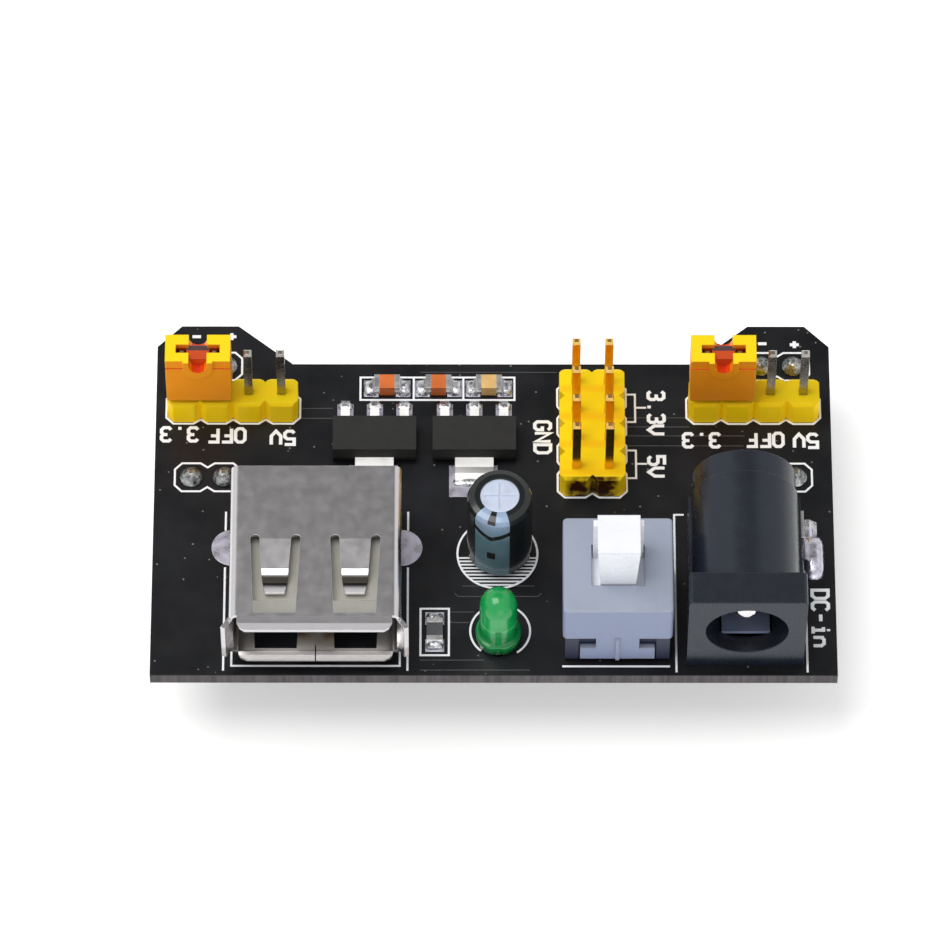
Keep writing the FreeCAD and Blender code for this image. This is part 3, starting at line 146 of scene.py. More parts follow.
# Shader building
class Shader:
    """Adds nodes to a material's or a group's tree and wires them by socket name."""

    def __init__(self, tree):
        self.tree = tree

    def feed(self, socket, value):
        if isinstance(value, bpy.types.NodeSocket):
            self.tree.links.new(value, socket)
        else:
            socket.default_value = value

    def add(self, kind, inputs=None, **settings):
        node = self.tree.nodes.new(kind if kind.startswith("Node") else "ShaderNode" + kind)
        for key, value in settings.items():
            setattr(node, key, value)
        for key, value in (inputs or {}).items():
            self.feed(node.inputs[key], value)
        return node

    def maths(self, operation, first, second=0.0, clamp=False):
        return self.add("Math", {0: first, 1: second}, operation=operation, use_clamp=clamp).outputs[0]

    def range(self, value, low, high, to_low=0.0, to_high=1.0):
        inputs = {"Value": value, "From Min": low, "From Max": high, "To Min": to_low, "To Max": to_high}
        return self.add("MapRange", inputs).outputs["Result"]

    def blend(self, factor, first, second):
        """Colour mix of two colours or sockets."""
        node = self.add("Mix", data_type="RGBA")
        self.feed(node.inputs[0], factor)
        self.feed(node.inputs[6], first if isinstance(first, bpy.types.NodeSocket) else (*first, 1))
        self.feed(node.inputs[7], second if isinstance(second, bpy.types.NodeSocket) else (*second, 1))
        return node.outputs[2]

    def place(self):
        return self.add("TexCoord").outputs["Object"]

    def along(self, axis):
        """Place along one axis of the frame, in metres."""
        return self.add("SeparateXYZ", {0: self.place()}).outputs[axis]

    def facing(self, axis):
        """Part of the surface normal along one axis."""
        return self.add("SeparateXYZ", {0: self.add("NewGeometry").outputs["Normal"]}).outputs[axis]

    def distance(self, value, middle):
        """How far a value lies from a middle value."""
        return self.maths("ABSOLUTE", self.maths("SUBTRACT", value, middle))

    def effect(self, name, **inputs):
        """One of the shared effect groups, with its own values."""
        node = self.add("Group", node_tree=bpy.data.node_groups[name])
        for key, value in inputs.items():
            self.feed(node.inputs[key.replace("_", " ").capitalize()], value)
        return node.outputs[0]


def effect_group(name, inputs, output):
    tree = bpy.data.node_groups.new(name, "ShaderNodeTree")
    for label, default in inputs.items():
        socket = tree.interface.new_socket(label, in_out="INPUT", socket_type="NodeSocketFloat")
        socket.default_value = default
    tree.interface.new_socket(output, in_out="OUTPUT", socket_type="NodeSocketFloat")
    shader = Shader(tree)
    return shader, shader.add("NodeGroupInput").outputs, shader.add("NodeGroupOutput").inputs[0]


def make_effects():
    """The shader effects that several finishes share: grain, brushed lines, dust, smudges and edge light for
    painted edge highlights.
    """
    shader, given, result = effect_group("Fine grain", {"Scale": 4000.0, "Detail": 3.0}, "Height")
    noise = shader.add("TexNoise", {"Vector": shader.place()})
    for label in ("Scale", "Detail"):
        shader.feed(noise.inputs[label], given[label])
    shader.feed(result, noise.outputs["Fac"])

    lengths = {"Along x": 1.0, "Along y": 1.0, "Along z": 1.0}
    shader, given, result = effect_group("Brushed lines", {"Scale": 900.0, **lengths}, "Height")
    stretch = shader.add("CombineXYZ", {"X": given["Along x"], "Y": given["Along y"], "Z": given["Along z"]})
    scaled = shader.add("VectorMath", {0: shader.place(), 1: stretch.outputs[0]}, operation="MULTIPLY")
    noise = shader.add("TexNoise", {"Vector": scaled.outputs[0], "Scale": given["Scale"], "Detail": 4.0})
    shader.feed(result, noise.outputs["Fac"])

    shader, given, result = effect_group("Dust", {"Scale": 900.0, "Size": 0.1, "Amount": 0.3}, "Mask")
    cells = shader.add("TexVoronoi", {"Vector": shader.place(), "Scale": given["Scale"]})
    speck = shader.maths("LESS_THAN", cells.outputs["Distance"], given["Size"])
    pick = shader.add("SeparateColor", {0: cells.outputs["Color"]}).outputs[0]
    shader.feed(result, shader.maths("MULTIPLY", speck, shader.maths("LESS_THAN", pick, given["Amount"])))

    shader, given, result = effect_group("Smudge", {"Scale": 250.0, "Low": 0.3, "High": 0.4}, "Value")
    noise = shader.add("TexNoise", {"Vector": shader.place(), "Scale": given["Scale"], "Detail": 5.0})
    noise.inputs["Roughness"].default_value = 0.62
    shader.feed(result, shader.range(noise.outputs["Fac"], 0.35, 0.68, given["Low"], given["High"]))

    # Edge light: a mask along the edges, used for painted highlights there.
    shader, given, result = effect_group("Edge light", {"Radius": 0.00008, "Reach": 0.06}, "Mask")
    soft = shader.add("Bevel", {"Radius": given["Radius"]}, samples=4).outputs[0]
    sharp = shader.add("NewGeometry").outputs["Normal"]
    facing = shader.add("VectorMath", {0: soft, 1: sharp}, operation="DOT_PRODUCT").outputs["Value"]
    shader.feed(result, shader.range(shader.maths("SUBTRACT", 1.0, facing), 0.0, given["Reach"]))


def new_finish(name, **constants):
    """Shader and sockets of a new material. The constants go straight on the shader's own sockets."""
    material = bpy.data.materials.new(name)
    material.use_nodes = True
    inputs = material.node_tree.nodes["Principled BSDF"].inputs
    for key, value in constants.items():
        inputs[key.replace("_", " ")].default_value = value
    return Shader(material.node_tree), inputs


def soft_edges(shader, inputs, radius, height=None, strength=0.2, distance=0.00002):
    """Rounds the look of sharp edges, and adds a fine relief over it."""
    normal = shader.add("Bevel", {"Radius": radius * MM}, samples=4).outputs[0]
    if height is not None:
        relief = {"Strength": strength, "Distance": distance, "Height": height, "Normal": normal}
        normal = shader.add("Bump", relief).outputs[0]
    shader.feed(inputs["Normal"], normal)


def shade(tone, share):
    return tuple(channel * share for channel in tone)


def moulded(name, tone, rough=(0.4, 0.5), grain=5000.0, relief=0.15, edge=0.1, edge_highlight_strength=0.25, variation=0.12,
            wall=None, **constants):
    """A moulded plastic: fine grain, uneven sheen, painted highlights on its edges, and a wall tone if one is
    given, which paints the light or shade on the sides.
    """
    shader, inputs = new_finish(name, **constants)
    blotch = shader.effect("Smudge", scale=420.0, low=0.0, high=1.0)
    base = shader.blend(blotch, shade(tone, 1 - variation), tone)
    # The wall tone paints the light or shade that falls on the sides.
    if wall is not None:
        base = shader.blend(shader.range(shader.facing("Z"), 0.35, 0.85), wall, base)
    # Painted highlight: the edges are blended towards a paler tone.
    edge_highlight = shader.effect("Edge light", radius=edge * MM, reach=0.12)
    pale = tuple(channel + (1 - channel) * edge_highlight_strength * 0.5 for channel in tone)
    shader.feed(inputs["Base Color"], shader.blend(shader.maths("MULTIPLY", edge_highlight, edge_highlight_strength), base, pale))
    shader.feed(inputs["Roughness"], shader.effect("Smudge", scale=900.0, low=rough[0], high=rough[1]))
    soft_edges(shader, inputs, edge, shader.effect("Fine grain", scale=grain, detail=4.0), relief)


def plated(name, tone, rough=(0.2, 0.32), lines=(1.0, 1.0, 1.0), scale=1500.0, relief=0.1, edge=0.05,
           tarnish=0.25, dark=None):
    """A plated metal: rolling lines, smudged sheen and a little tarnish."""
    shader, inputs = new_finish(name, Metallic=1.0)
    spots = shader.effect("Smudge", scale=600.0, low=0.0, high=tarnish)
    shader.feed(inputs["Base Color"], shader.blend(spots, tone, dark or shade(tone, 0.6)))
    shader.feed(inputs["Roughness"], shader.effect("Smudge", scale=1100.0, low=rough[0], high=rough[1]))
    x, y, z = lines
    grooves = shader.effect("Brushed lines", scale=scale, along_x=x, along_y=y, along_z=z)
    soft_edges(shader, inputs, edge, grooves, relief, 0.00001)


def reopened(name):
    """Shader, sockets and base colour of a finish that gets something more."""
    tree = bpy.data.materials[name].node_tree
    inputs = tree.nodes["Principled BSDF"].inputs
    return Shader(tree), inputs, inputs["Base Color"].links[0].from_socket


def shell_finish():
    """Tinned sheet: the bent parts of the fingers carry a painted reflection of the dark room, and the lower
    lip is darker.
    """
    plated("Shell tin", (0.60, 0.585, 0.60), (0.20, 0.26), lines=(0.08, 1.0, 1.0), scale=2400.0, relief=0.03,
           tarnish=0.10, dark=(0.52, 0.50, 0.48))
    shader, inputs, base = reopened("Shell tin")
    inward = shader.maths("DIVIDE", shader.maths("SUBTRACT", shader.along("Y"), SHELL_FRONT * MM), MM)
    drop = shader.maths("DIVIDE", shader.maths("SUBTRACT", SHELL_ROOF * MM, shader.along("Z")), MM)
    band = shader.maths("MULTIPLY", shader.range(inward, *BEND_START), shader.range(inward, *BEND_END))
    aside = shader.distance(shader.along("X"), centre("usb_shell").x * MM)
    inside = shader.maths("LESS_THAN", aside, WINDOWS_HALF * MM)
    bent = shader.maths("MULTIPLY", shader.maths("MULTIPLY", band, inside), shader.range(drop, 0.10, 0.14))
    lip = shader.maths("MULTIPLY", shader.range(inward, 0.15, 0.05), shader.range(drop, 3.5, 4.0))
    base = shader.blend(shader.maths("MULTIPLY", lip, 0.8), base, (0.36, 0.34, 0.33))
    shader.feed(inputs["Base Color"], shader.blend(bent, base, (0.055, 0.05, 0.045)))


SHELL_FRONT = -21.55
SHELL_ROOF = BOARD_TOP + 7.0
WINDOWS_HALF = 5.0
BEND_START = (2.98, 3.02)
BEND_END = (3.85, 3.70)


def header_finish(name, colours, stained=None):
    """Streaked yellow moulding whose walls take a deeper orange than its top, with a faint emitted glow on
    them: painted shade and painted light by how each face turns. Its edges carry a painted highlight. The
    stained block has bands of painted shade across its top and a scorched front.
    """
    shader, inputs = new_finish(name, Specular_IOR_Level=0.15, Emission_Strength=1.0)
    blotch = shader.effect("Smudge", scale=420.0, low=0.0, high=0.3)
    wall = shader.blend(blotch, colours.header_wall, shade(colours.header_wall, 0.75))
    # Painted shade: the tops of the plain blocks are darkened for the lamp's falloff.
    painted_falloff_top = shade(colours.header, 1.0 if stained else 0.84)
    top = shader.blend(blotch, painted_falloff_top, shade(painted_falloff_top, 0.88))
    streaks = shader.effect("Brushed lines", scale=900.0, along_x=0.08, along_y=1.0, along_z=1.0)
    top = shader.blend(shader.range(streaks, 0.45, 0.75, 0.0, 0.5), top, (1.0, 0.56, 0.003))
    level = shader.range(shader.facing("Z"), 0.2, 0.9)
    # Painted light: the walls glow faintly though they are no lamp.
    glow = shader.blend(level, shade(colours.header_wall, 0.12), BLACK)
    if stained is None:
        base = shader.blend(level, wall, top)
    else:
        # Painted shade: darker orange bands across the stained block's top, one for each cell.
        turns = shader.maths("MULTIPLY", shader.along("Y"), 2 * math.pi / (PITCH * MM))
        cell_shade_wave = shader.maths("SINE", shader.maths("SUBTRACT", turns, 2 * math.pi * stained.y / PITCH))
        top = shader.blend(shader.range(cell_shade_wave, 0.55, 1.0, 0.0, 0.55), top, (1.0, 0.50, 0.003))
        patch = shader.range(shader.distance(shader.along("X"), stained.x * MM), 2.1 * MM, 1.6 * MM)
        front = shader.range(shader.facing("Y"), -0.4, -0.8)
        cloud = shader.effect("Smudge", scale=900.0, low=0.35, high=1.9)
        mask = shader.maths("MULTIPLY", shader.maths("MULTIPLY", patch, front), cloud, clamp=True)
        base = shader.blend(mask, shader.blend(level, wall, top), colours.scorch)
        glow = shader.blend(mask, glow, BLACK)
    # Painted highlight along the edges.
    edge_highlight = shader.effect("Edge light", radius=0.00014, reach=0.12)
    base = shader.blend(shader.maths("MULTIPLY", edge_highlight, 0.25), base, (1.0, 0.80, 0.08))
    shader.feed(inputs["Base Color"], base)
    shader.feed(inputs["Emission Color"], glow)
    shader.feed(inputs["Roughness"], shader.effect("Smudge", scale=900.0, low=0.42, high=0.55))
    soft_edges(shader, inputs, 0.14, shader.effect("Fine grain", scale=5000.0, detail=4.0), 0.15)


def jumper_finish(colours):
    """Translucent orange plastic: yellow where the top lets the light through, a painted highlight along the
    edges, and painted shade, deep red, down in the notch.
    """
    shader, inputs = new_finish("Jumper orange", Specular_IOR_Level=0.25)
    blotch = shader.effect("Smudge", scale=420.0, low=0.0, high=0.25)
    wall = shader.blend(blotch, colours.jumper, shade(colours.jumper, 0.8))
    # Painted highlight along the walls' edges.
    edge_highlight = shader.effect("Edge light", radius=0.00012, reach=0.12)
    wall = shader.blend(shader.maths("MULTIPLY", edge_highlight, 0.6), wall, colours.jumper_top)
    # Painted shade: the top turns deep red down in the notch.
    notch_shade_mask = shader.maths("LESS_THAN", shader.along("Z"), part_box("jumper_cap_left")[1].z - 0.3 * MM)
    top = shader.blend(notch_shade_mask, colours.jumper_top, (0.70, 0.035, 0.004))
    shader.feed(inputs["Base Color"], shader.blend(shader.range(shader.facing("Z"), 0.3, 0.9), wall, top))
    shader.feed(inputs["Roughness"], shader.effect("Smudge", scale=900.0, low=0.32, high=0.44))
    soft_edges(shader, inputs, 0.10, shader.effect("Fine grain", scale=5000.0, detail=4.0), 0.15)


def solder_finish(name, bright, dark, ripples=0.7):
    """Solder that flowed by hand: bright and dark patches, painted reflections, over a rippled skin."""
    shader, inputs = new_finish(name, Metallic=1.0)
    blotch = shader.effect("Smudge", scale=1700.0, low=-0.1, high=1.0)
    shader.feed(inputs["Base Color"], shader.blend(blotch, bright, dark))
    shader.feed(inputs["Roughness"], shader.effect("Smudge", scale=2500.0, low=0.12, high=0.38))
    ripple = shader.add("TexNoise", {"Vector": shader.place(), "Scale": 2600.0, "Detail": 3.0}).outputs["Fac"]
    soft_edges(shader, inputs, 0.05, ripple, ripples, 0.00012)


def board_finish(colours):
    """Glossy, dusty mask on the faces and sawn glass fibre on the cut edge."""
    shader, inputs = new_finish("Board lacquer", Coat_Weight=0.05, Coat_Roughness=0.2,
                                Specular_IOR_Level=0.25)
    normal = shader.add("SeparateXYZ", {0: shader.add("NewGeometry").outputs["True Normal"]}).outputs["Z"]
    face = shader.maths("GREATER_THAN", shader.maths("ABSOLUTE", normal), 0.5)
    cloud = shader.effect("Smudge", scale=160.0, low=0.0, high=1.0)
    mask = shader.blend(cloud, colours.mask, shade(colours.mask, 1.9))
    dust = shader.effect("Dust", scale=1500.0, size=0.12, amount=0.24)
    mask = shader.blend(shader.maths("MULTIPLY", dust, 0.36), mask, (0.45, 0.46, 0.45))
    level = shader.range(shader.along("Z"), BOARD_UNDER * MM, BOARD_TOP * MM)
    saw = shader.effect("Brushed lines", scale=2600.0, along_x=1.0, along_y=1.0, along_z=0.06)
    fibre = shader.blend(shader.range(saw, 0.35, 0.7), colours.cut_edge, shade(colours.cut_edge, 1.9))
    fibre = shader.blend(shader.maths("LESS_THAN", level, 0.93), colours.mask, fibre)
    shader.feed(inputs["Base Color"], shader.blend(face, fibre, mask))
    gloss = shader.effect("Smudge", scale=300.0, low=0.28, high=0.42)
    rough = shader.add("Mix", data_type="FLOAT")
    for socket, value in ((0, face), (2, 0.85), (3, gloss)):
        shader.feed(rough.inputs[socket], value)
    shader.feed(inputs["Roughness"], rough.outputs[0])
    weave = shader.add("TexNoise", {"Vector": shader.place(), "Scale": 1800.0, "Detail": 3.0}).outputs["Fac"]
    soft_edges(shader, inputs, 0.06, weave, 0.12, 0.00003)


def sleeve_finish(colours):
    """Shrunk film with a pale stripe down the front left, broken by dark minus bars and one chevron line."""
    shader, inputs = new_finish("Capacitor film", Coat_Weight=0.2, Coat_Roughness=0.08,
                                Specular_IOR_Level=0.35)
    middle = centre("capacitor_can") * MM
    place = shader.add("VectorMath", {0: shader.place(), 1: (middle.x, middle.y, 0)}, operation="SUBTRACT")
    axis = shader.add("SeparateXYZ", {0: place.outputs[0]}).outputs
    turn = shader.maths("ARCTAN2", axis["X"], shader.maths("MULTIPLY", axis["Y"], -1.0))
    off = shader.distance(turn, STRIPE_TURN)
    stripe = shader.maths("LESS_THAN", off, STRIPE_HALF)
    high = shader.maths("DIVIDE", shader.maths("SUBTRACT", axis["Z"], BOARD_TOP * MM), MM)
    for level in STRIPE_BARS:
        near = shader.maths("LESS_THAN", shader.distance(high, level), BAR_HALF)
        bar = shader.maths("MULTIPLY", near, shader.maths("LESS_THAN", off, BAR_TURN))
        stripe = shader.maths("SUBTRACT", stripe, bar, clamp=True)
    point = shader.maths("ADD", CHEVRON_LEVEL, shader.maths("MULTIPLY", off, CHEVRON_SLOPE))
    line = shader.maths("LESS_THAN", shader.distance(high, point), CHEVRON_HALF)
    stripe = shader.maths("SUBTRACT", stripe, line, clamp=True)
    cloud = shader.effect("Smudge", scale=700.0, low=0.0, high=0.35)
    pale = shader.blend(cloud, colours.stripe, shade(colours.stripe, 0.5))
    lower = tuple(channel * share for channel, share in zip(colours.stripe, (0.30, 0.42, 0.36)))
    pale = shader.blend(shader.range(high, 8.2, 5.5), pale, lower)
    shader.feed(inputs["Base Color"], shader.blend(stripe, colours.sleeve, pale))
    shader.feed(inputs["Roughness"], shader.effect("Smudge", scale=500.0, low=0.16, high=0.26))
    soft_edges(shader, inputs, 0.12, shader.effect("Fine grain", scale=1200.0, detail=2.0), 0.15)


STRIPE_TURN = math.radians(-15.5)
STRIPE_HALF = math.radians(33.0)
STRIPE_BARS = (8.35, 3.4)
BAR_HALF = 0.45
BAR_TURN = 0.13
CHEVRON_LEVEL = 5.9
CHEVRON_SLOPE = 1.3
CHEVRON_HALF = 0.28


def lens_finish(colours):
    """Green resin, darker towards the board as painted shade, with a light ring round its body."""
    shader, inputs = new_finish("Green lens", Transmission_Weight=0.15, IOR=1.45, Coat_Weight=0.3,
                                Coat_Roughness=0.03)
    cloud = shader.effect("Smudge", scale=500.0, low=0.0, high=0.35)
    height, low = shader.along("Z"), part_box("led_lens")[0].z
    # Painted shade: the resin darkens towards the board.
    foot_shade = shader.range(height, low + FOOT_HIGH * MM, low + FOOT_LOW * MM, 0.0, 0.75)
    ring = shader.maths("LESS_THAN", shader.distance(height, low + RING_LEVEL * MM), RING_HALF * MM)
    base = shader.blend(shader.maths("MAXIMUM", cloud, foot_shade), colours.lens, shade(colours.lens, 0.45))
    glow = tuple(channel + 0.10 for channel in colours.lens)
    shader.feed(inputs["Base Color"], shader.blend(shader.maths("MULTIPLY", ring, 0.6), base, glow))
    shader.feed(inputs["Roughness"], shader.effect("Smudge", scale=1500.0, low=0.12, high=0.22))
    soft_edges(shader, inputs, 0.08, shader.effect("Fine grain", scale=2500.0, detail=2.0), 0.08)


FOOT_LOW = 1.9
FOOT_HIGH = 2.9
RING_LEVEL = 2.95
RING_HALF = 0.16


def lamp_lead_finish(colours):
    """Tinned lead, green where the lens is cast round it."""
    plated("Lamp lead", (0.74, 0.73, 0.72), (0.2, 0.35), tarnish=0.35)
    shader, inputs, base = reopened("Lamp lead")
    bare = shader.maths("LESS_THAN", shader.along("Z"), (BOARD_TOP + 0.1) * MM)
    shader.feed(inputs["Base Color"], shader.blend(bare, shade(colours.lens, 0.6), base))
    shader.feed(inputs["Metallic"], bare)


def clip_finish():
    """Folded spring strip: its front looks red through the cap."""
    moulded("Clip spring", (0.09, 0.055, 0.06), (0.2, 0.3), edge=0.05, edge_highlight_strength=0.8, wall=CLIP_RED)
    shader, inputs, base = reopened("Clip spring")
    low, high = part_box("jumper_clip_left")
    front = shader.maths("LESS_THAN", shader.along("Y"), low.y + CLIP_FRONT * (high.y - low.y))
    shader.feed(inputs["Base Color"], shader.blend(front, base, CLIP_RED))


CLIP_RED = (0.60, 0.075, 0.01)
CLIP_FRONT = 0.62


def ink_finish(colours):
    shader, inputs = new_finish("Legend ink", Roughness=0.55)
    cloud = shader.effect("Smudge", scale=2500.0, low=0.0, high=0.35)
    shader.feed(inputs["Base Color"], shader.blend(cloud, colours.legend, shade(colours.legend, 0.88)))
    soft_edges(shader, inputs, 0.02, shader.effect("Fine grain", scale=9000.0, detail=2.0), 0.2)


# Mesh building
def add_piece(name, shapes, finish, body="board", smooth=False, replaces=()):
    """A piece of the scene from shapes in millimetres, riding on a CAD body."""
    mesh = bpy.data.meshes.new(name)
    mesh.from_pydata([Vector(point) * MM for point in shapes.points], [], shapes.faces)
    mesh.validate()
    mesh.update()
    if smooth:
        mesh.shade_smooth()
    mesh.materials.append(bpy.data.materials[finish])
    item = bpy.data.objects.new(name, mesh)
    bpy.context.scene.collection.objects.link(item)
    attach(item, body)
    if replaces:
        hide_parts(*replaces)
    return item


def dress(finish, *nodes):
    """Gives CAD nodes their finish."""
    for node in nodes:
        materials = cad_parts[node].data.materials
        materials.clear()
        materials.append(bpy.data.materials[finish])


class Shapes:
    """Points and faces of one piece, gathered from several simple shapes."""

    def __init__(self):
        self.points = []
        self.faces = []

    def prism(self, outline, low, high):
        """An upright prism over an outline that runs anticlockwise seen from above."""
        start, count = len(self.points), len(outline)
        self.points += [(x, y, low) for x, y in outline] + [(x, y, high) for x, y in outline]
        self.faces.append([start + count + k for k in range(count)])
        self.faces.append([start + count - 1 - k for k in range(count)])
        for k in range(count):
            after = (k + 1) % count
            self.faces.append([start + k, start + after, start + count + after, start + count + k])

    def ribbon(self, line, width, low, high, closed=False):
        """A flat strip along a line, mitred at its corners."""
        left, right = offset(line, width / 2, closed), offset(line, -width / 2, closed)
        start, count = len(self.points), len(line)
        for side in (right, left):
            self.points += [(x, y, low) for x, y in side] + [(x, y, high) for x, y in side]
        right_low, right_high, left_low, left_high = (start + k * count for k in range(4))
        for k in range(count if closed else count - 1):
            after = (k + 1) % count
            self.faces.append([right_high + k, right_high + after, left_high + after, left_high + k])
            self.faces.append([left_low + k, left_low + after, right_low + after, right_low + k])
            self.faces.append([right_low + k, right_low + after, right_high + after, right_high + k])
            self.faces.append([left_high + k, left_high + after, left_low + after, left_low + k])
        if not closed:
            end = count - 1
            self.faces.append([left_low, right_low, right_high, left_high])
            self.faces.append([right_low + end, left_low + end, left_high + end, right_high + end])

    def turned(self, profile, x, y, sides=24):
        """A solid turned about an upright axis. Its profile runs from the axis or a rim outwards."""
        start, count = len(self.points), len(profile)
        for k in range(sides):
            turn = 2 * math.pi * k / sides
            self.points += [(x + r * math.cos(turn), y + r * math.sin(turn), z) for r, z in profile]
        for k in range(sides):
            here, there = start + k * count, start + (k + 1) % sides * count
            for j in range(count - 1):
                self.faces.append([here + j, here + j + 1, there + j + 1, there + j])
        self.faces.append([start + k * count for k in range(sides)])
        self.faces.append([start + (sides - 1 - k) * count + count - 1 for k in range(sides)])


def mound(shapes, x, y, wide, deep, high, sides=20):
    """A rounded heap of solder on the board, squarish in plan."""
    rings = ((1.0, 0.0), (0.97, 0.25), (0.88, 0.55), (0.70, 0.82), (0.42, 0.96), (0.12, 1.0))
    start = len(shapes.points)
    for share, rise in rings:
        for k in range(sides):
            turn = 2 * math.pi * k / sides
            across, along = math.cos(turn), math.sin(turn)
            plan = (abs(across) ** 4 + abs(along) ** 4) ** -0.25
            right, back = across * plan * share * wide / 2, along * plan * share * deep / 2
            shapes.points.append((x + right, y + back, BOARD_TOP + rise * high))
    for j in range(len(rings) - 1):
        for k in range(sides):
            here, after = start + j * sides + k, start + j * sides + (k + 1) % sides
            shapes.faces.append([here, after, after + sides, here + sides])
    shapes.faces.append([start + sides - 1 - k for k in range(sides)])
    top = start + (len(rings) - 1) * sides
    shapes.faces.append([top + k for k in range(sides)])


def rectangle(x, y, wide, deep):
    left, right, front, back = x - wide / 2, x + wide / 2, y - deep / 2, y + deep / 2
    return [(left, front), (right, front), (right, back), (left, back)]


def offset(line, distance, closed):
    """The line moved sideways, with mitred corners."""
    count = len(line)
    moved = []
    for k, (x, y) in enumerate(line):
        before = line[k - 1] if closed or k else None
        after = line[(k + 1) % count] if closed or k < count - 1 else None
        runs = []
        for start, end in ((before, (x, y)), ((x, y), after)):
            if start is not None and end is not None:
                run = Vector((end[0] - start[0], end[1] - start[1])).normalized()
                runs.append(Vector((-run.y, run.x)))
        normal = sum(runs, Vector((0, 0)))
        normal.normalize()
        reach = distance / max(normal.dot(runs[0]), 0.45)
        moved.append((x + normal.x * reach, y + normal.y * reach))
    return moved


def arc(x, y, radius, start, end, steps):
    """Points along an arc, with its angles in degrees."""
    turns = [math.radians(start + (end - start) * k / steps) for k in range(steps + 1)]
    return [(x + radius * math.cos(turn), y + radius * math.sin(turn)) for turn in turns]


# Letters drawn as single strokes on a field 4 wide and 6 high
GLYPHS = {
    "3": [[(0, 5.1), (0.9, 6), (3.1, 6), (4, 5.1), (4, 3.9), (3.1, 3.1), (1.5, 3.1)],
          [(3.1, 3.1), (4, 2.3), (4, 0.9), (3.1, 0), (0.9, 0), (0, 0.9)]],
    "5": [[(4, 6), (0, 6), (0, 3.5), (2.9, 3.5), (4, 2.6), (4, 1), (3, 0), (0.9, 0), (0, 0.9)]],
    "V": [[(0, 6), (0, 2.2), (2, 0), (4, 2.2), (4, 6)]],
    "O": [[(1.1, 0), (2.9, 0), (4, 1.1), (4, 4.9), (2.9, 6), (1.1, 6), (0, 4.9), (0, 1.1), (1.1, 0)]],
    "F": [[(0, 0), (0, 6), (4, 6)], [(0, 3.2), (3, 3.2)]],
    "G": [[(4, 5), (3, 6), (1, 6), (0, 5), (0, 1), (1, 0), (3, 0), (4, 1), (4, 2.9), (2.3, 2.9)]],
    "N": [[(0, 0), (0, 6), (4, 0.4), (4, 6)]],
    "D": [[(0, 0), (2.8, 0), (4, 1.2), (4, 4.8), (2.8, 6), (0, 6), (0, 0)]],
    "C": [[(4, 5), (3, 6), (1, 6), (0, 5), (0, 1), (1, 0), (3, 0), (4, 1)]],
    "i": [[(0.8, 3.9), (2.2, 3.9), (2.2, 0)], [(0.6, 0), (3.8, 0)], [(1.7, 5.8), (2.7, 5.8)]],
    "n": [[(0, 0), (0, 4)], [(0, 3), (1, 4), (3, 4), (4, 3), (4, 0)]],
    "-": [[(0.4, 3), (3.6, 3)]],
    "+": [[(0.3, 3), (3.7, 3)], [(2, 1.3), (2, 4.7)]],
    ".": [[(1.3, 0.3), (2.7, 0.3)]],
}


def write_legend(shapes, text, x, y, turn, sizes, advance=None, height=None):
    """Strokes of a word whose middle is at x, y, turned by a number of degrees."""
    step = advance or sizes.legend_advance / MM
    tall = height or sizes.legend_height / MM
    wide = step * 0.70
    spin = Matrix.Rotation(math.radians(turn), 2)
    span = (len(text) - 1) * step + wide
    for k, letter in enumerate(text):
        for rank, stroke in enumerate(GLYPHS[letter]):
            line = []
            for across, up in stroke:
                local = Vector((across / 4 * wide + k * step - span / 2, up / 6 * tall - tall / 2))
                line.append(tuple(spin @ local + Vector((x, y))))
            closed = line[0] == line[-1]
            high = BOARD_TOP + sizes.ink_thickness / MM + 0.004 * rank
            shapes.ribbon(line[:-1] if closed else line, sizes.legend_stroke / MM, BOARD_TOP, high, closed)


def cell_outline(columns, rows, x, y, margin):
    """Outline round a block of header cells, with a notch between cells."""
    cut, notch = 0.55, 0.38
    half_x, half_y = columns * PITCH / 2 + margin, rows * PITCH / 2 + margin
    front, side = [], []
    for count, line in ((columns, front), (rows, side)):
        for k in range(count):
            low = -count * PITCH / 2 + k * PITCH
            start = low + (cut if k else cut - margin)
            end = low + PITCH - (cut if k < count - 1 else cut - margin)
            line += [(start, 0.0), (end, 0.0)]
            if k < count - 1:
                line.append((low + PITCH, notch))
    outline = [(a, depth - half_y) for a, depth in front] + [(half_x - depth, a) for a, depth in side]
    outline += [(-a, -b) for a, b in outline]
    return [(x + a, y + b) for a, b in outline]


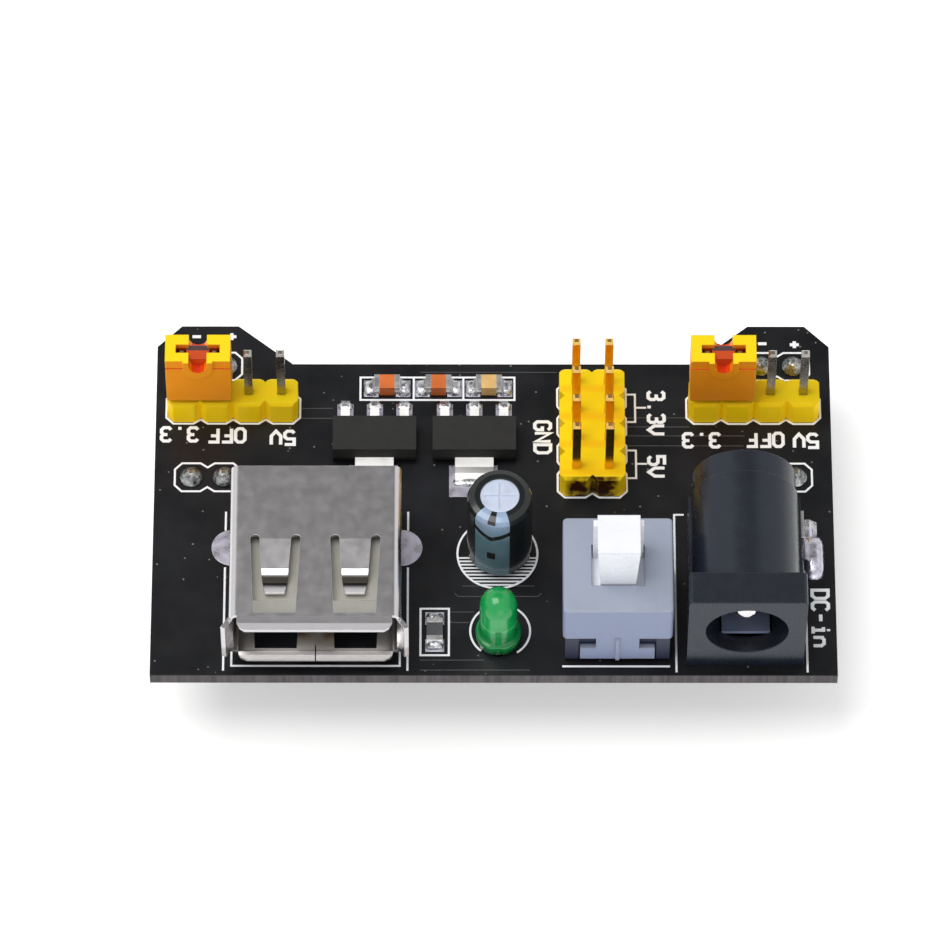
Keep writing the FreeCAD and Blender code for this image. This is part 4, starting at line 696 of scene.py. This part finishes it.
# Operators
class SUPPLY_OT_finishes(bpy.types.Operator):
    """Makes the shared effects and the finishes of every piece"""
    bl_idname = "supply.finishes"
    bl_label = "Finishes"

    def execute(self, context):
        tones = context.scene.supply_colours
        make_effects()
        board_finish(tones)
        sleeve_finish(tones)
        lens_finish(tones)
        ink_finish(tones)
        solder_finish("Solder", (0.74, 0.74, 0.77), (0.20, 0.20, 0.22))
        # The rail joints' solder has darker painted reflections.
        solder_finish("Dull solder", (0.46, 0.47, 0.47), (0.03, 0.035, 0.035), ripples=1.0)
        solder_finish("Smooth solder", (0.66, 0.65, 0.76), (0.40, 0.38, 0.42), ripples=0.15)
        moulded("Trace edge", tones.trace, (0.25, 0.4), edge=0.02, edge_highlight_strength=0.0)
        plated("Bare pad", tones.bare_pad, (0.25, 0.45), relief=0.3, tarnish=0.3)
        header_finish("Header yellow", tones)
        header_finish("Header stained", tones, centre("output_carrier"))
        jumper_finish(tones)
        moulded("Carrier black", tones.carrier, (0.40, 0.5), edge=0.10)
        # Jack: the darker, bluer wall tone is painted shade on the sides, and the blue specular tint is a
        # painted reflection colour.
        moulded("Jack black", tones.jack, (0.24, 0.32), grain=3500.0, relief=0.08, edge=0.15, edge_highlight_strength=0.12,
                wall=(0.008, 0.011, 0.019), Specular_IOR_Level=0.34, Specular_Tint=(0.74, 0.87, 1.0, 1.0))
        # Switch: the darker wall tone is painted shade on the front and sides, and the strong edge highlight
        # is painted.
        moulded("Switch grey", tones.switch, (0.42, 0.52), edge=0.16, edge_highlight_strength=0.5, variation=0.08,
                wall=(0.234, 0.275, 0.417))
        moulded("Switch slate", tones.switch_base, (0.42, 0.52), edge=0.10, edge_highlight_strength=0.15)
        moulded("Plunger white", tones.plunger, (0.25, 0.35), edge=0.12, edge_highlight_strength=0.1, variation=0.05)
        moulded("Insulator white", (0.43, 0.42, 0.37), (0.45, 0.55), edge=0.08)
        moulded("Moulding compound", (0.016, 0.016, 0.015), (0.55, 0.7), grain=9000.0, relief=0.4, edge=0.08,
                edge_highlight_strength=0.1, Specular_IOR_Level=0.3)
        moulded("Chip brown", tones.ceramic, (0.4, 0.55), edge=0.06, variation=0.25)
        moulded("Chip tan", tones.tan_ceramic, (0.4, 0.55), edge=0.06, variation=0.25)
        moulded("Chip black", (0.11, 0.112, 0.12), (0.3, 0.45), edge=0.05, variation=0.5)
        # Leaf: its colour is raised about threefold as painted light in the shaded bore.
        moulded("Leaf slate", (0.20, 0.235, 0.36), (0.45, 0.6), edge=0.06)
        moulded("Seal rubber", (0.02, 0.02, 0.02), (0.6, 0.75), edge=0.08)
        shell_finish()
        plated("Gold flash", (0.83, 0.52, 0.14), (0.16, 0.28), lines=(1, 1, 0.05), relief=0.15)
        plated("Tinned wire", (0.42, 0.40, 0.36), (0.2, 0.34), lines=(1, 1, 0.05), relief=0.15, tarnish=0.5)
        plated("Tin plate", (0.74, 0.73, 0.72), (0.2, 0.35), tarnish=0.35)
        plated("Tinned tab", (0.95, 0.94, 0.92), (0.45, 0.6), lines=(0.1, 1, 1), relief=0.2, tarnish=0.12)
        clip_finish()
        lamp_lead_finish(tones)
        plated("Nickel", (0.80, 0.79, 0.80), (0.10, 0.18), relief=0.05)
        plated("Spring steel", (0.50, 0.48, 0.47), (0.2, 0.3))
        plated("Can aluminium", (0.60, 0.66, 0.80), (0.42, 0.55), lines=(1, 0.05, 1), scale=3500.0,
               relief=0.12, tarnish=0.1)
        return {"FINISHED"}


class SUPPLY_OT_board(bpy.types.Operator):
    """Finishes the circuit board and adds the raised edges of its copper and its bare pads"""
    bl_idname = "supply.board"
    bl_label = "Circuit board"

    def execute(self, context):
        dress("Board lacquer", "circuit_board")
        wide = context.scene.supply_sizes.trace_width / MM
        edges = Shapes()
        for path in TRACE_EDGES:
            edges.ribbon(path, wide, BOARD_TOP, BOARD_TOP + TRACE_RISE)
        add_piece("trace_edges", edges, "Trace edge")
        pads = Shapes()
        level = BOARD_TOP + PAD_RISE
        for spot in placed(PADS):
            pads.prism(rectangle(*spot), BOARD_TOP, level)
        for x, y, radius in RING_PADS:
            pads.turned([(RING_INNER, level), (radius, level), (radius, BOARD_TOP)], x, y, 40)
        add_piece("bare_pads", pads, "Bare pad")
        return {"FINISHED"}


TRACE_RISE = 0.012
PAD_RISE = 0.03
RING_INNER = 0.95
RING_PADS = ((-20.2, -11.45, 1.6), (-7.1, -11.45, 1.6))
TRACE_EDGES = (
    [(-15.2, 1.22), (-12.54, 1.22)], [(-15.2, 0.31), (-12.54, 0.31)],
    [(10.3, 0.37), (15.07, 0.37)], [(10.3, -0.46), (15.3, -0.46)], [(10.3, -1.28), (19.6, -1.28)],
    [(10.3, -2.19), (19.5, -2.19)],
    [(-2.43, -14.85), (3.12, -14.85)], [(-3.0, -15.5), (-2.74, -15.78), (3.43, -15.78), (3.7, -15.5)],
    [(-3.43, -17.17), (-1.51, -17.17)], [(-3.43, -18.1), (-1.89, -18.1)],
    [(-5.65, -21.43), (-0.74, -21.43)], [(-5.65, -22.31), (2.78, -22.31)], [(-5.74, 4.55), (5.0, 4.55)],
)


# Pads and solder heaps: parts, then place from a part's middle, width, depth and, for a heap, height
CHIPS = ("chip_capacitor_left", "chip_capacitor_middle", "chip_capacitor_right")
REGULATORS = ("regulator_left", "regulator_right")
PADS = (
    (CHIPS, [(across, 0, 1.15, 1.5) for across in (-1.25, 1.25)]),
    (("resistor",), [(0, along, 1.45, 1.1) for along in (-1.2, 1.2)]),
    (REGULATORS, [(across, 2.98, 1.25, 1.2) for across in (-2.3, 0, 2.3)] + [(-0.08, -3.41, 3.77, 2.86)]),
)
HEAPS = (
    (CHIPS, [(across, 0, 1.15, 1.45, 0.45) for across in (-1.25, 1.25)]),
    (("resistor",), [(0, along, 1.4, 1.0, 0.45) for along in (-1.15, 1.15)]),
    (REGULATORS, [(across, 3.35, 1.15, 0.75, 0.30) for across in (-2.3, 0, 2.3)]
     + [(0, -3.55, 3.35, 0.8, 0.30)]),
)


def placed(table):
    """Every spot of a table, moved to the middle of its part."""
    for nodes, spots in table:
        for node in nodes:
            middle = centre(node)
            for across, along, *size in spots:
                yield middle.x + across, middle.y + along, *size


class SUPPLY_OT_legends(bpy.types.Operator):
    """Prints the outlines and the generic letters on the board"""
    bl_idname = "supply.legends"
    bl_label = "Legends"

    def execute(self, context):
        sizes = context.scene.supply_sizes
        line, ink = sizes.legend_line / MM, sizes.ink_thickness / MM
        low, high = BOARD_TOP, BOARD_TOP + ink
        words = Shapes()
        for text, x, y, turn in LEGENDS:
            write_legend(words, text, x, y, turn, sizes)
        for text, x, y in TAB_SIGNS:
            write_legend(words, text, x, y, 0, sizes, advance=1.2, height=1.1)
        add_piece("board_letters", words, "Legend ink")
        lines = Shapes()
        for rank, path in enumerate(OPEN_LINES):
            lines.ribbon(path, line, low, high + 0.0005 * (rank + 1))
        for rank, path in enumerate(CLOSED_LINES):
            lines.ribbon(path, line, low, high + 0.01 + 0.001 * rank, closed=True)
        for node in RAIL_CARRIERS:
            middle = centre(node)
            lines.ribbon(cell_outline(2, 1, middle.x, middle.y, 0.0), line, low, high, closed=True)
        for node, columns, rows in HEADERS:
            middle = centre(node)
            lines.ribbon(cell_outline(columns, rows, middle.x, middle.y, 0.14), line, low, high, closed=True)
        x, y, radius = CAN_RING
        for k in range(HATCH_COUNT):
            level = HATCH_START - k * HATCH_STEP
            half = math.sqrt(radius ** 2 - (level - y) ** 2)
            lines.ribbon([(x - half, level), (x + half, level)], HATCH_WIDTH, low, high)
        add_piece("board_outlines", lines, "Legend ink")
        return {"FINISHED"}


LEGENDS = (
    ("3.3", -24.46, -1.17, 180), ("OFF", -20.79, -1.26, 180), ("5V", -16.42, -1.48, 180),
    ("3.3", 16.25, -1.69, 180), ("OFF", 21.17, -1.64, 180), ("5V", 24.37, -1.73, 180),
    ("GND", 3.85, -1.42, -90), ("3.3V", 12.73, 0.84, -90), ("5V", 12.71, -4.06, -90),
    ("DC-in", 25.15, -17.68, -90),
)
HEADERS = (("selector_carrier_left", 4, 1), ("selector_carrier_right", 4, 1), ("output_carrier", 2, 4))
TAB_SIGNS = (("+", -20.54, 7.83), ("-", -23.30, 7.83), ("+", 23.66, 7.12), ("-", 21.15, 7.21))
CAN_RING = (0.30, -11.97, 3.09)
LAMP_RING = (0.50, -18.85, 2.30)
HATCH_START = -12.35
HATCH_STEP = 0.30
HATCH_COUNT = 9
HATCH_WIDTH = 0.14
OPEN_LINES = (
    [(-20.11, -20.2), (-20.11, -21.95), (-7.20, -21.95), (-7.20, -20.2)],
    [(-20.73, -8.2), (-20.73, -9.9)], [(-20.73, -13.2), (-20.73, -22.37)],
    [(-6.61, -8.2), (-6.61, -9.9)], [(-6.61, -13.2), (-6.61, -22.37)],
    [(5.25, -21.98), (13.5, -21.98)],
    [(14.75, -8.46), (14.0, -8.46), (14.0, -22.5)], [(24.04, -17.0), (24.04, -22.5)],
    [(10.32, 2.5), (11.08, 2.5), (11.08, -0.02), (10.32, -0.02)], [(11.08, 1.29), (11.95, 1.29)],
    [(10.40, -2.62), (11.10, -2.62), (11.10, -5.14), (10.40, -5.14)], [(11.10, -3.84), (11.97, -3.84)],
    [(-6.22, 1.99), (-6.22, 4.06)], [(-2.34, 1.99), (-2.34, 4.06)],
    arc(*LAMP_RING, -56, 230, 44),
)
CLOSED_LINES = (
    [(-10.39, 1.99), (1.66, 1.99), (1.66, 4.06), (-10.39, 4.06)],
    [(-5.62, -21.01), (-3.44, -21.01), (-3.44, -16.89), (-5.62, -16.89)],
    arc(*CAN_RING, 0, 354, 59),
)


class SUPPLY_OT_headers(bpy.types.Operator):
    """Finishes the header blocks, their pins and the jumper caps"""
    bl_idname = "supply.headers"
    bl_label = "Headers and jumpers"

    def execute(self, context):
        dress("Header yellow", "selector_carrier_left", "selector_carrier_right")
        dress("Header stained", "output_carrier")
        for corner in ("front_left", "front_right", "back_left", "back_right"):
            dress("Carrier black", "rail_carrier_" + corner)
            dress("Tinned wire", "rail_pins_" + corner)
        dress("Tinned wire", "selector_pins_left", "selector_pins_right")
        dress("Gold flash", "output_pins")
        dress("Jumper orange", "jumper_cap_left", "jumper_cap_right")
        dress("Clip spring", "jumper_clip_left", "jumper_clip_right")
        return {"FINISHED"}


class SUPPLY_OT_usb_socket(bpy.types.Operator):
    """Finishes the USB socket"""
    bl_idname = "supply.usb_socket"
    bl_label = "USB socket"

    def execute(self, context):
        dress("Shell tin", "usb_shell")
        dress("Insulator white", "usb_insulator")
        dress("Gold flash", "usb_contacts")
        return {"FINISHED"}


class SUPPLY_OT_power_jack(bpy.types.Operator):
    """Finishes the DC power jack"""
    bl_idname = "supply.power_jack"
    bl_label = "Power jack"

    def execute(self, context):
        dress("Jack black", "dc_jack_housing")
        dress("Nickel", "dc_jack_center_pin")
        dress("Tin plate", "dc_jack_pin_terminal", "dc_jack_switch_contact")
        dress("Leaf slate", "dc_jack_sleeve_contact")
        return {"FINISHED"}


class SUPPLY_OT_push_switch(bpy.types.Operator):
    """Finishes the push switch"""
    bl_idname = "supply.push_switch"
    bl_label = "Push switch"

    def execute(self, context):
        dress("Switch grey", "switch_cover")
        dress("Switch slate", "switch_base")
        dress("Plunger white", "switch_plunger")
        dress("Tin plate", "switch_terminals", "switch_bridges")
        dress("Spring steel", "switch_spring", "switch_latch_pin")
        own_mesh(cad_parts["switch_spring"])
        return {"FINISHED"}


class SUPPLY_OT_capacitor(bpy.types.Operator):
    """Finishes the reservoir capacitor"""
    bl_idname = "supply.capacitor"
    bl_label = "Capacitor"

    def execute(self, context):
        dress("Can aluminium", "capacitor_can")
        dress("Capacitor film", "capacitor_sleeve")
        dress("Seal rubber", "capacitor_seal")
        dress("Tin plate", "capacitor_leads")
        return {"FINISHED"}


class SUPPLY_OT_lamp(bpy.types.Operator):
    """Turns the lamp's lens, with its flat at the front, and finishes the leads"""
    bl_idname = "supply.lamp"
    bl_label = "Lamp"

    def execute(self, context):
        low, high = (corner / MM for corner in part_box("led_lens"))
        turns = [math.radians(degrees) for degrees in range(6, 91, 6)]
        middle = LENS_HIGH - LENS_BODY
        dome = [(LENS_BODY * math.sin(turn), middle + LENS_BODY * math.cos(turn)) for turn in turns]
        profile = [(r, low.z + z) for r, z in (*dome, *LENS_FOOT)]
        lens = Shapes()
        lens.turned(profile, (low.x + high.x) / 2, high.y - LENS_FLANGE, 48)
        lens.points = [(x, max(y, low.y - FLAT_FORWARD), z) for x, y, z in lens.points]
        add_piece("lamp_lens", lens, "Green lens", smooth=True, replaces=("led_lens",))
        dress("Lamp lead", "led_leads")
        return {"FINISHED"}


LENS_FLANGE = 2.0
LENS_BODY = 1.45
LENS_HIGH = 6.1
LENS_FOOT = ((1.45, 1.15), (1.53, 1.0), (1.65, 1.0), (1.75, 0.9), (1.75, 0.0))
FLAT_FORWARD = 0.15


class SUPPLY_OT_chips(bpy.types.Operator):
    """Finishes the chip parts and the two regulators"""
    bl_idname = "supply.chips"
    bl_label = "Chip parts and regulators"

    def execute(self, context):
        dress("Chip brown", "chip_capacitor_left", "chip_capacitor_middle")
        dress("Chip tan", "chip_capacitor_right")
        dress("Chip black", "resistor")
        dress("Tin plate", "chip_capacitor_ends", "resistor_ends")
        dress("Moulding compound", "regulator_left", "regulator_right")
        dress("Tinned tab", "regulator_left_leads", "regulator_right_leads")
        return {"FINISHED"}


class SUPPLY_OT_solder(bpy.types.Operator):
    """Lays the solder joints on both faces of the board"""
    bl_idname = "supply.solder"
    bl_label = "Solder"

    def execute(self, context):
        dress("Solder", "solder_rail_pins", "solder_header_pins", "solder_part_leads", "solder_blades",
              "solder_surface_parts")
        wide = context.scene.supply_sizes.joint_radius / MM
        joints = Shapes()
        for node in RAIL_CARRIERS:
            middle = centre(node)
            for side in (-1, 1):
                profile = [(share * wide, BOARD_TOP + rise) for share, rise in JOINT_PROFILE]
                joints.turned(profile, middle.x + side * PITCH / 2, middle.y, 28)
        add_piece("rail_joints", joints, "Dull solder", smooth=True,
                  replaces=("solder_rail_pins",))
        heaps = Shapes()
        for spot in placed(HEAPS):
            mound(heaps, *spot)
        add_piece("surface_joints", heaps, "Solder", smooth=True)
        blob = Shapes()
        for spot in SIDE_JOINT:
            mound(blob, *spot)
        add_piece("blade_joint", blob, "Smooth solder", smooth=True)
        return {"FINISHED"}


RAIL_CARRIERS = ("rail_carrier_front_left", "rail_carrier_front_right", "rail_carrier_back_left",
                 "rail_carrier_back_right")
SIDE_JOINT = ((24.3, -11.7, 1.0, 5.3, 0.60), (24.68, -12.45, 1.75, 4.0, 0.95))
JOINT_PROFILE = ((0.30, 0.80), (0.42, 0.66), (0.58, 0.50), (0.76, 0.32), (0.92, 0.13), (1.0, 0.0))


class SUPPLY_OT_studio(bpy.types.Operator):
    """Sets up the floor, the lamps, the even light and the camera"""
    bl_idname = "supply.studio"
    bl_label = "Studio"

    def execute(self, context):
        studio = context.scene.supply_studio
        add_floor()
        light_world(context.scene, studio)
        add_lamp("Key lamp", (-0.16, -0.02, 0.50), 0.34, studio.key, (1.0, 0.99, 0.97))
        add_lamp("Front lamp", (0.10, -0.50, 0.10), 0.30, studio.fill, (0.93, 0.96, 1.0))
        add_camera(context.scene, studio)
        context.scene.view_settings.view_transform = "Standard"
        return {"FINISHED"}


TARGET = Vector((-1.43, -4.85, BOARD_TOP)) * MM
FLOOR_SIDE = 3.0
GREY_PATCH = (0.0, 0.515, 0.857)


def add_floor():
    shader, inputs = new_finish("Studio floor", Roughness=0.9, Emission_Color=(1, 1, 1, 1),
                                Emission_Strength=0.35)
    speckle = shader.effect("Smudge", scale=60.0, low=0.0, high=0.03)
    shader.feed(inputs["Base Color"], shader.blend(speckle, (0.97, 0.97, 0.97), (0.95, 0.95, 0.95)))
    level = CAD_BOX[0][2]
    mesh = bpy.data.meshes.new("studio_floor")
    corners = [(x, y, level) for x, y in rectangle(0, 0, FLOOR_SIDE, FLOOR_SIDE)]
    mesh.from_pydata(corners, [], [(0, 1, 2, 3)])
    mesh.materials.append(bpy.data.materials["Studio floor"])
    floor = bpy.data.objects.new("studio_floor", mesh)
    bpy.context.scene.collection.objects.link(floor)


def light_world(scene, studio):
    """Even white light, with a greyer patch high at the back that flat metal mirrors."""
    world = bpy.data.worlds.new("Studio light")
    world.use_nodes = True
    scene.world = world
    shader = Shader(world.node_tree)
    background = world.node_tree.nodes["Background"].inputs
    toward = shader.add("TexCoord").outputs["Generated"]
    patch = shader.add("VectorMath", {0: toward, 1: GREY_PATCH}, operation="DOT_PRODUCT")
    level = shader.range(patch.outputs["Value"], 0.88, 0.965, 1.0, 0.24)
    path = shader.add("LightPath").outputs
    seen = shader.maths("MAXIMUM", path["Is Camera Ray"], path["Is Transmission Ray"])
    gloss = shader.maths("MULTIPLY", path["Is Glossy Ray"], level)
    even = shader.maths("MULTIPLY", shader.maths("SUBTRACT", 1.0, path["Is Glossy Ray"]), studio.sky)
    shader.feed(background["Strength"], shader.maths("MAXIMUM", seen, shader.maths("ADD", gloss, even)))
    shader.feed(background["Color"], (1.0, 1.0, 1.0, 1.0))


def add_lamp(name, place, side, power, tint):
    lamp = bpy.data.lights.new(name, "AREA")
    lamp.size, lamp.energy, lamp.color = side, power, tint
    item = bpy.data.objects.new(name, lamp)
    item.location = Vector(place)
    item.rotation_euler = (TARGET - item.location).to_track_quat("-Z", "Y").to_euler()
    bpy.context.scene.collection.objects.link(item)


def add_camera(scene, studio):
    turn, rise, roll = studio.azimuth, studio.elevation, studio.roll
    back = Vector((math.sin(turn) * math.cos(rise), -math.cos(turn) * math.cos(rise), math.sin(rise)))
    right = Vector((math.cos(turn), math.sin(turn), 0))
    up = back.cross(right)
    across = right * math.cos(roll) + up * math.sin(roll)
    upward = up * math.cos(roll) - right * math.sin(roll)
    camera = bpy.data.cameras.new("Camera")
    camera.lens, camera.sensor_width, camera.sensor_fit = studio.lens, 36.0, "HORIZONTAL"
    camera.clip_start, camera.clip_end = 0.01, 10.0
    item = bpy.data.objects.new("Camera", camera)
    pose = Matrix((across, upward, back)).transposed().to_4x4()
    pose.translation = TARGET + back * studio.distance
    item.matrix_world = pose
    scene.collection.objects.link(item)
    scene.camera = item


STEPS = ("finishes", "board", "legends", "headers", "usb_socket", "power_jack", "push_switch", "capacitor",
         "lamp", "chips", "solder", "studio")


class SUPPLY_PT_panel(bpy.types.Panel):
    """Sizes, colours and steps of the supply board"""
    bl_idname = "SUPPLY_PT_panel"
    bl_label = "Supply Board"
    bl_space_type = "VIEW_3D"
    bl_region_type = "UI"
    bl_category = "Supply Board"

    def draw(self, context):
        scene = context.scene
        for group in (scene.supply_sizes, scene.supply_colours, scene.supply_studio):
            column = self.layout.column()
            for name in group.__annotations__:
                column.prop(group, name)
        for step in STEPS:
            self.layout.operator("supply." + step)


CLASSES = (
    SupplyBoardSizes, SupplyBoardColours, SupplyBoardStudio, SUPPLY_OT_finishes, SUPPLY_OT_board,
    SUPPLY_OT_legends, SUPPLY_OT_headers, SUPPLY_OT_usb_socket, SUPPLY_OT_power_jack, SUPPLY_OT_push_switch,
    SUPPLY_OT_capacitor,
    SUPPLY_OT_lamp, SUPPLY_OT_chips, SUPPLY_OT_solder, SUPPLY_OT_studio, SUPPLY_PT_panel,
)


def register():
    for item in CLASSES:
        bpy.utils.register_class(item)
    bpy.types.Scene.supply_sizes = PointerProperty(type=SupplyBoardSizes)
    bpy.types.Scene.supply_colours = PointerProperty(type=SupplyBoardColours)
    bpy.types.Scene.supply_studio = PointerProperty(type=SupplyBoardStudio)


def unregister():
    del bpy.types.Scene.supply_studio
    del bpy.types.Scene.supply_colours
    del bpy.types.Scene.supply_sizes
    for item in reversed(CLASSES):
        bpy.utils.unregister_class(item)


def main():
    register()
    for step in STEPS:
        getattr(bpy.ops.supply, step)()


if __name__ == "__main__":
    main()
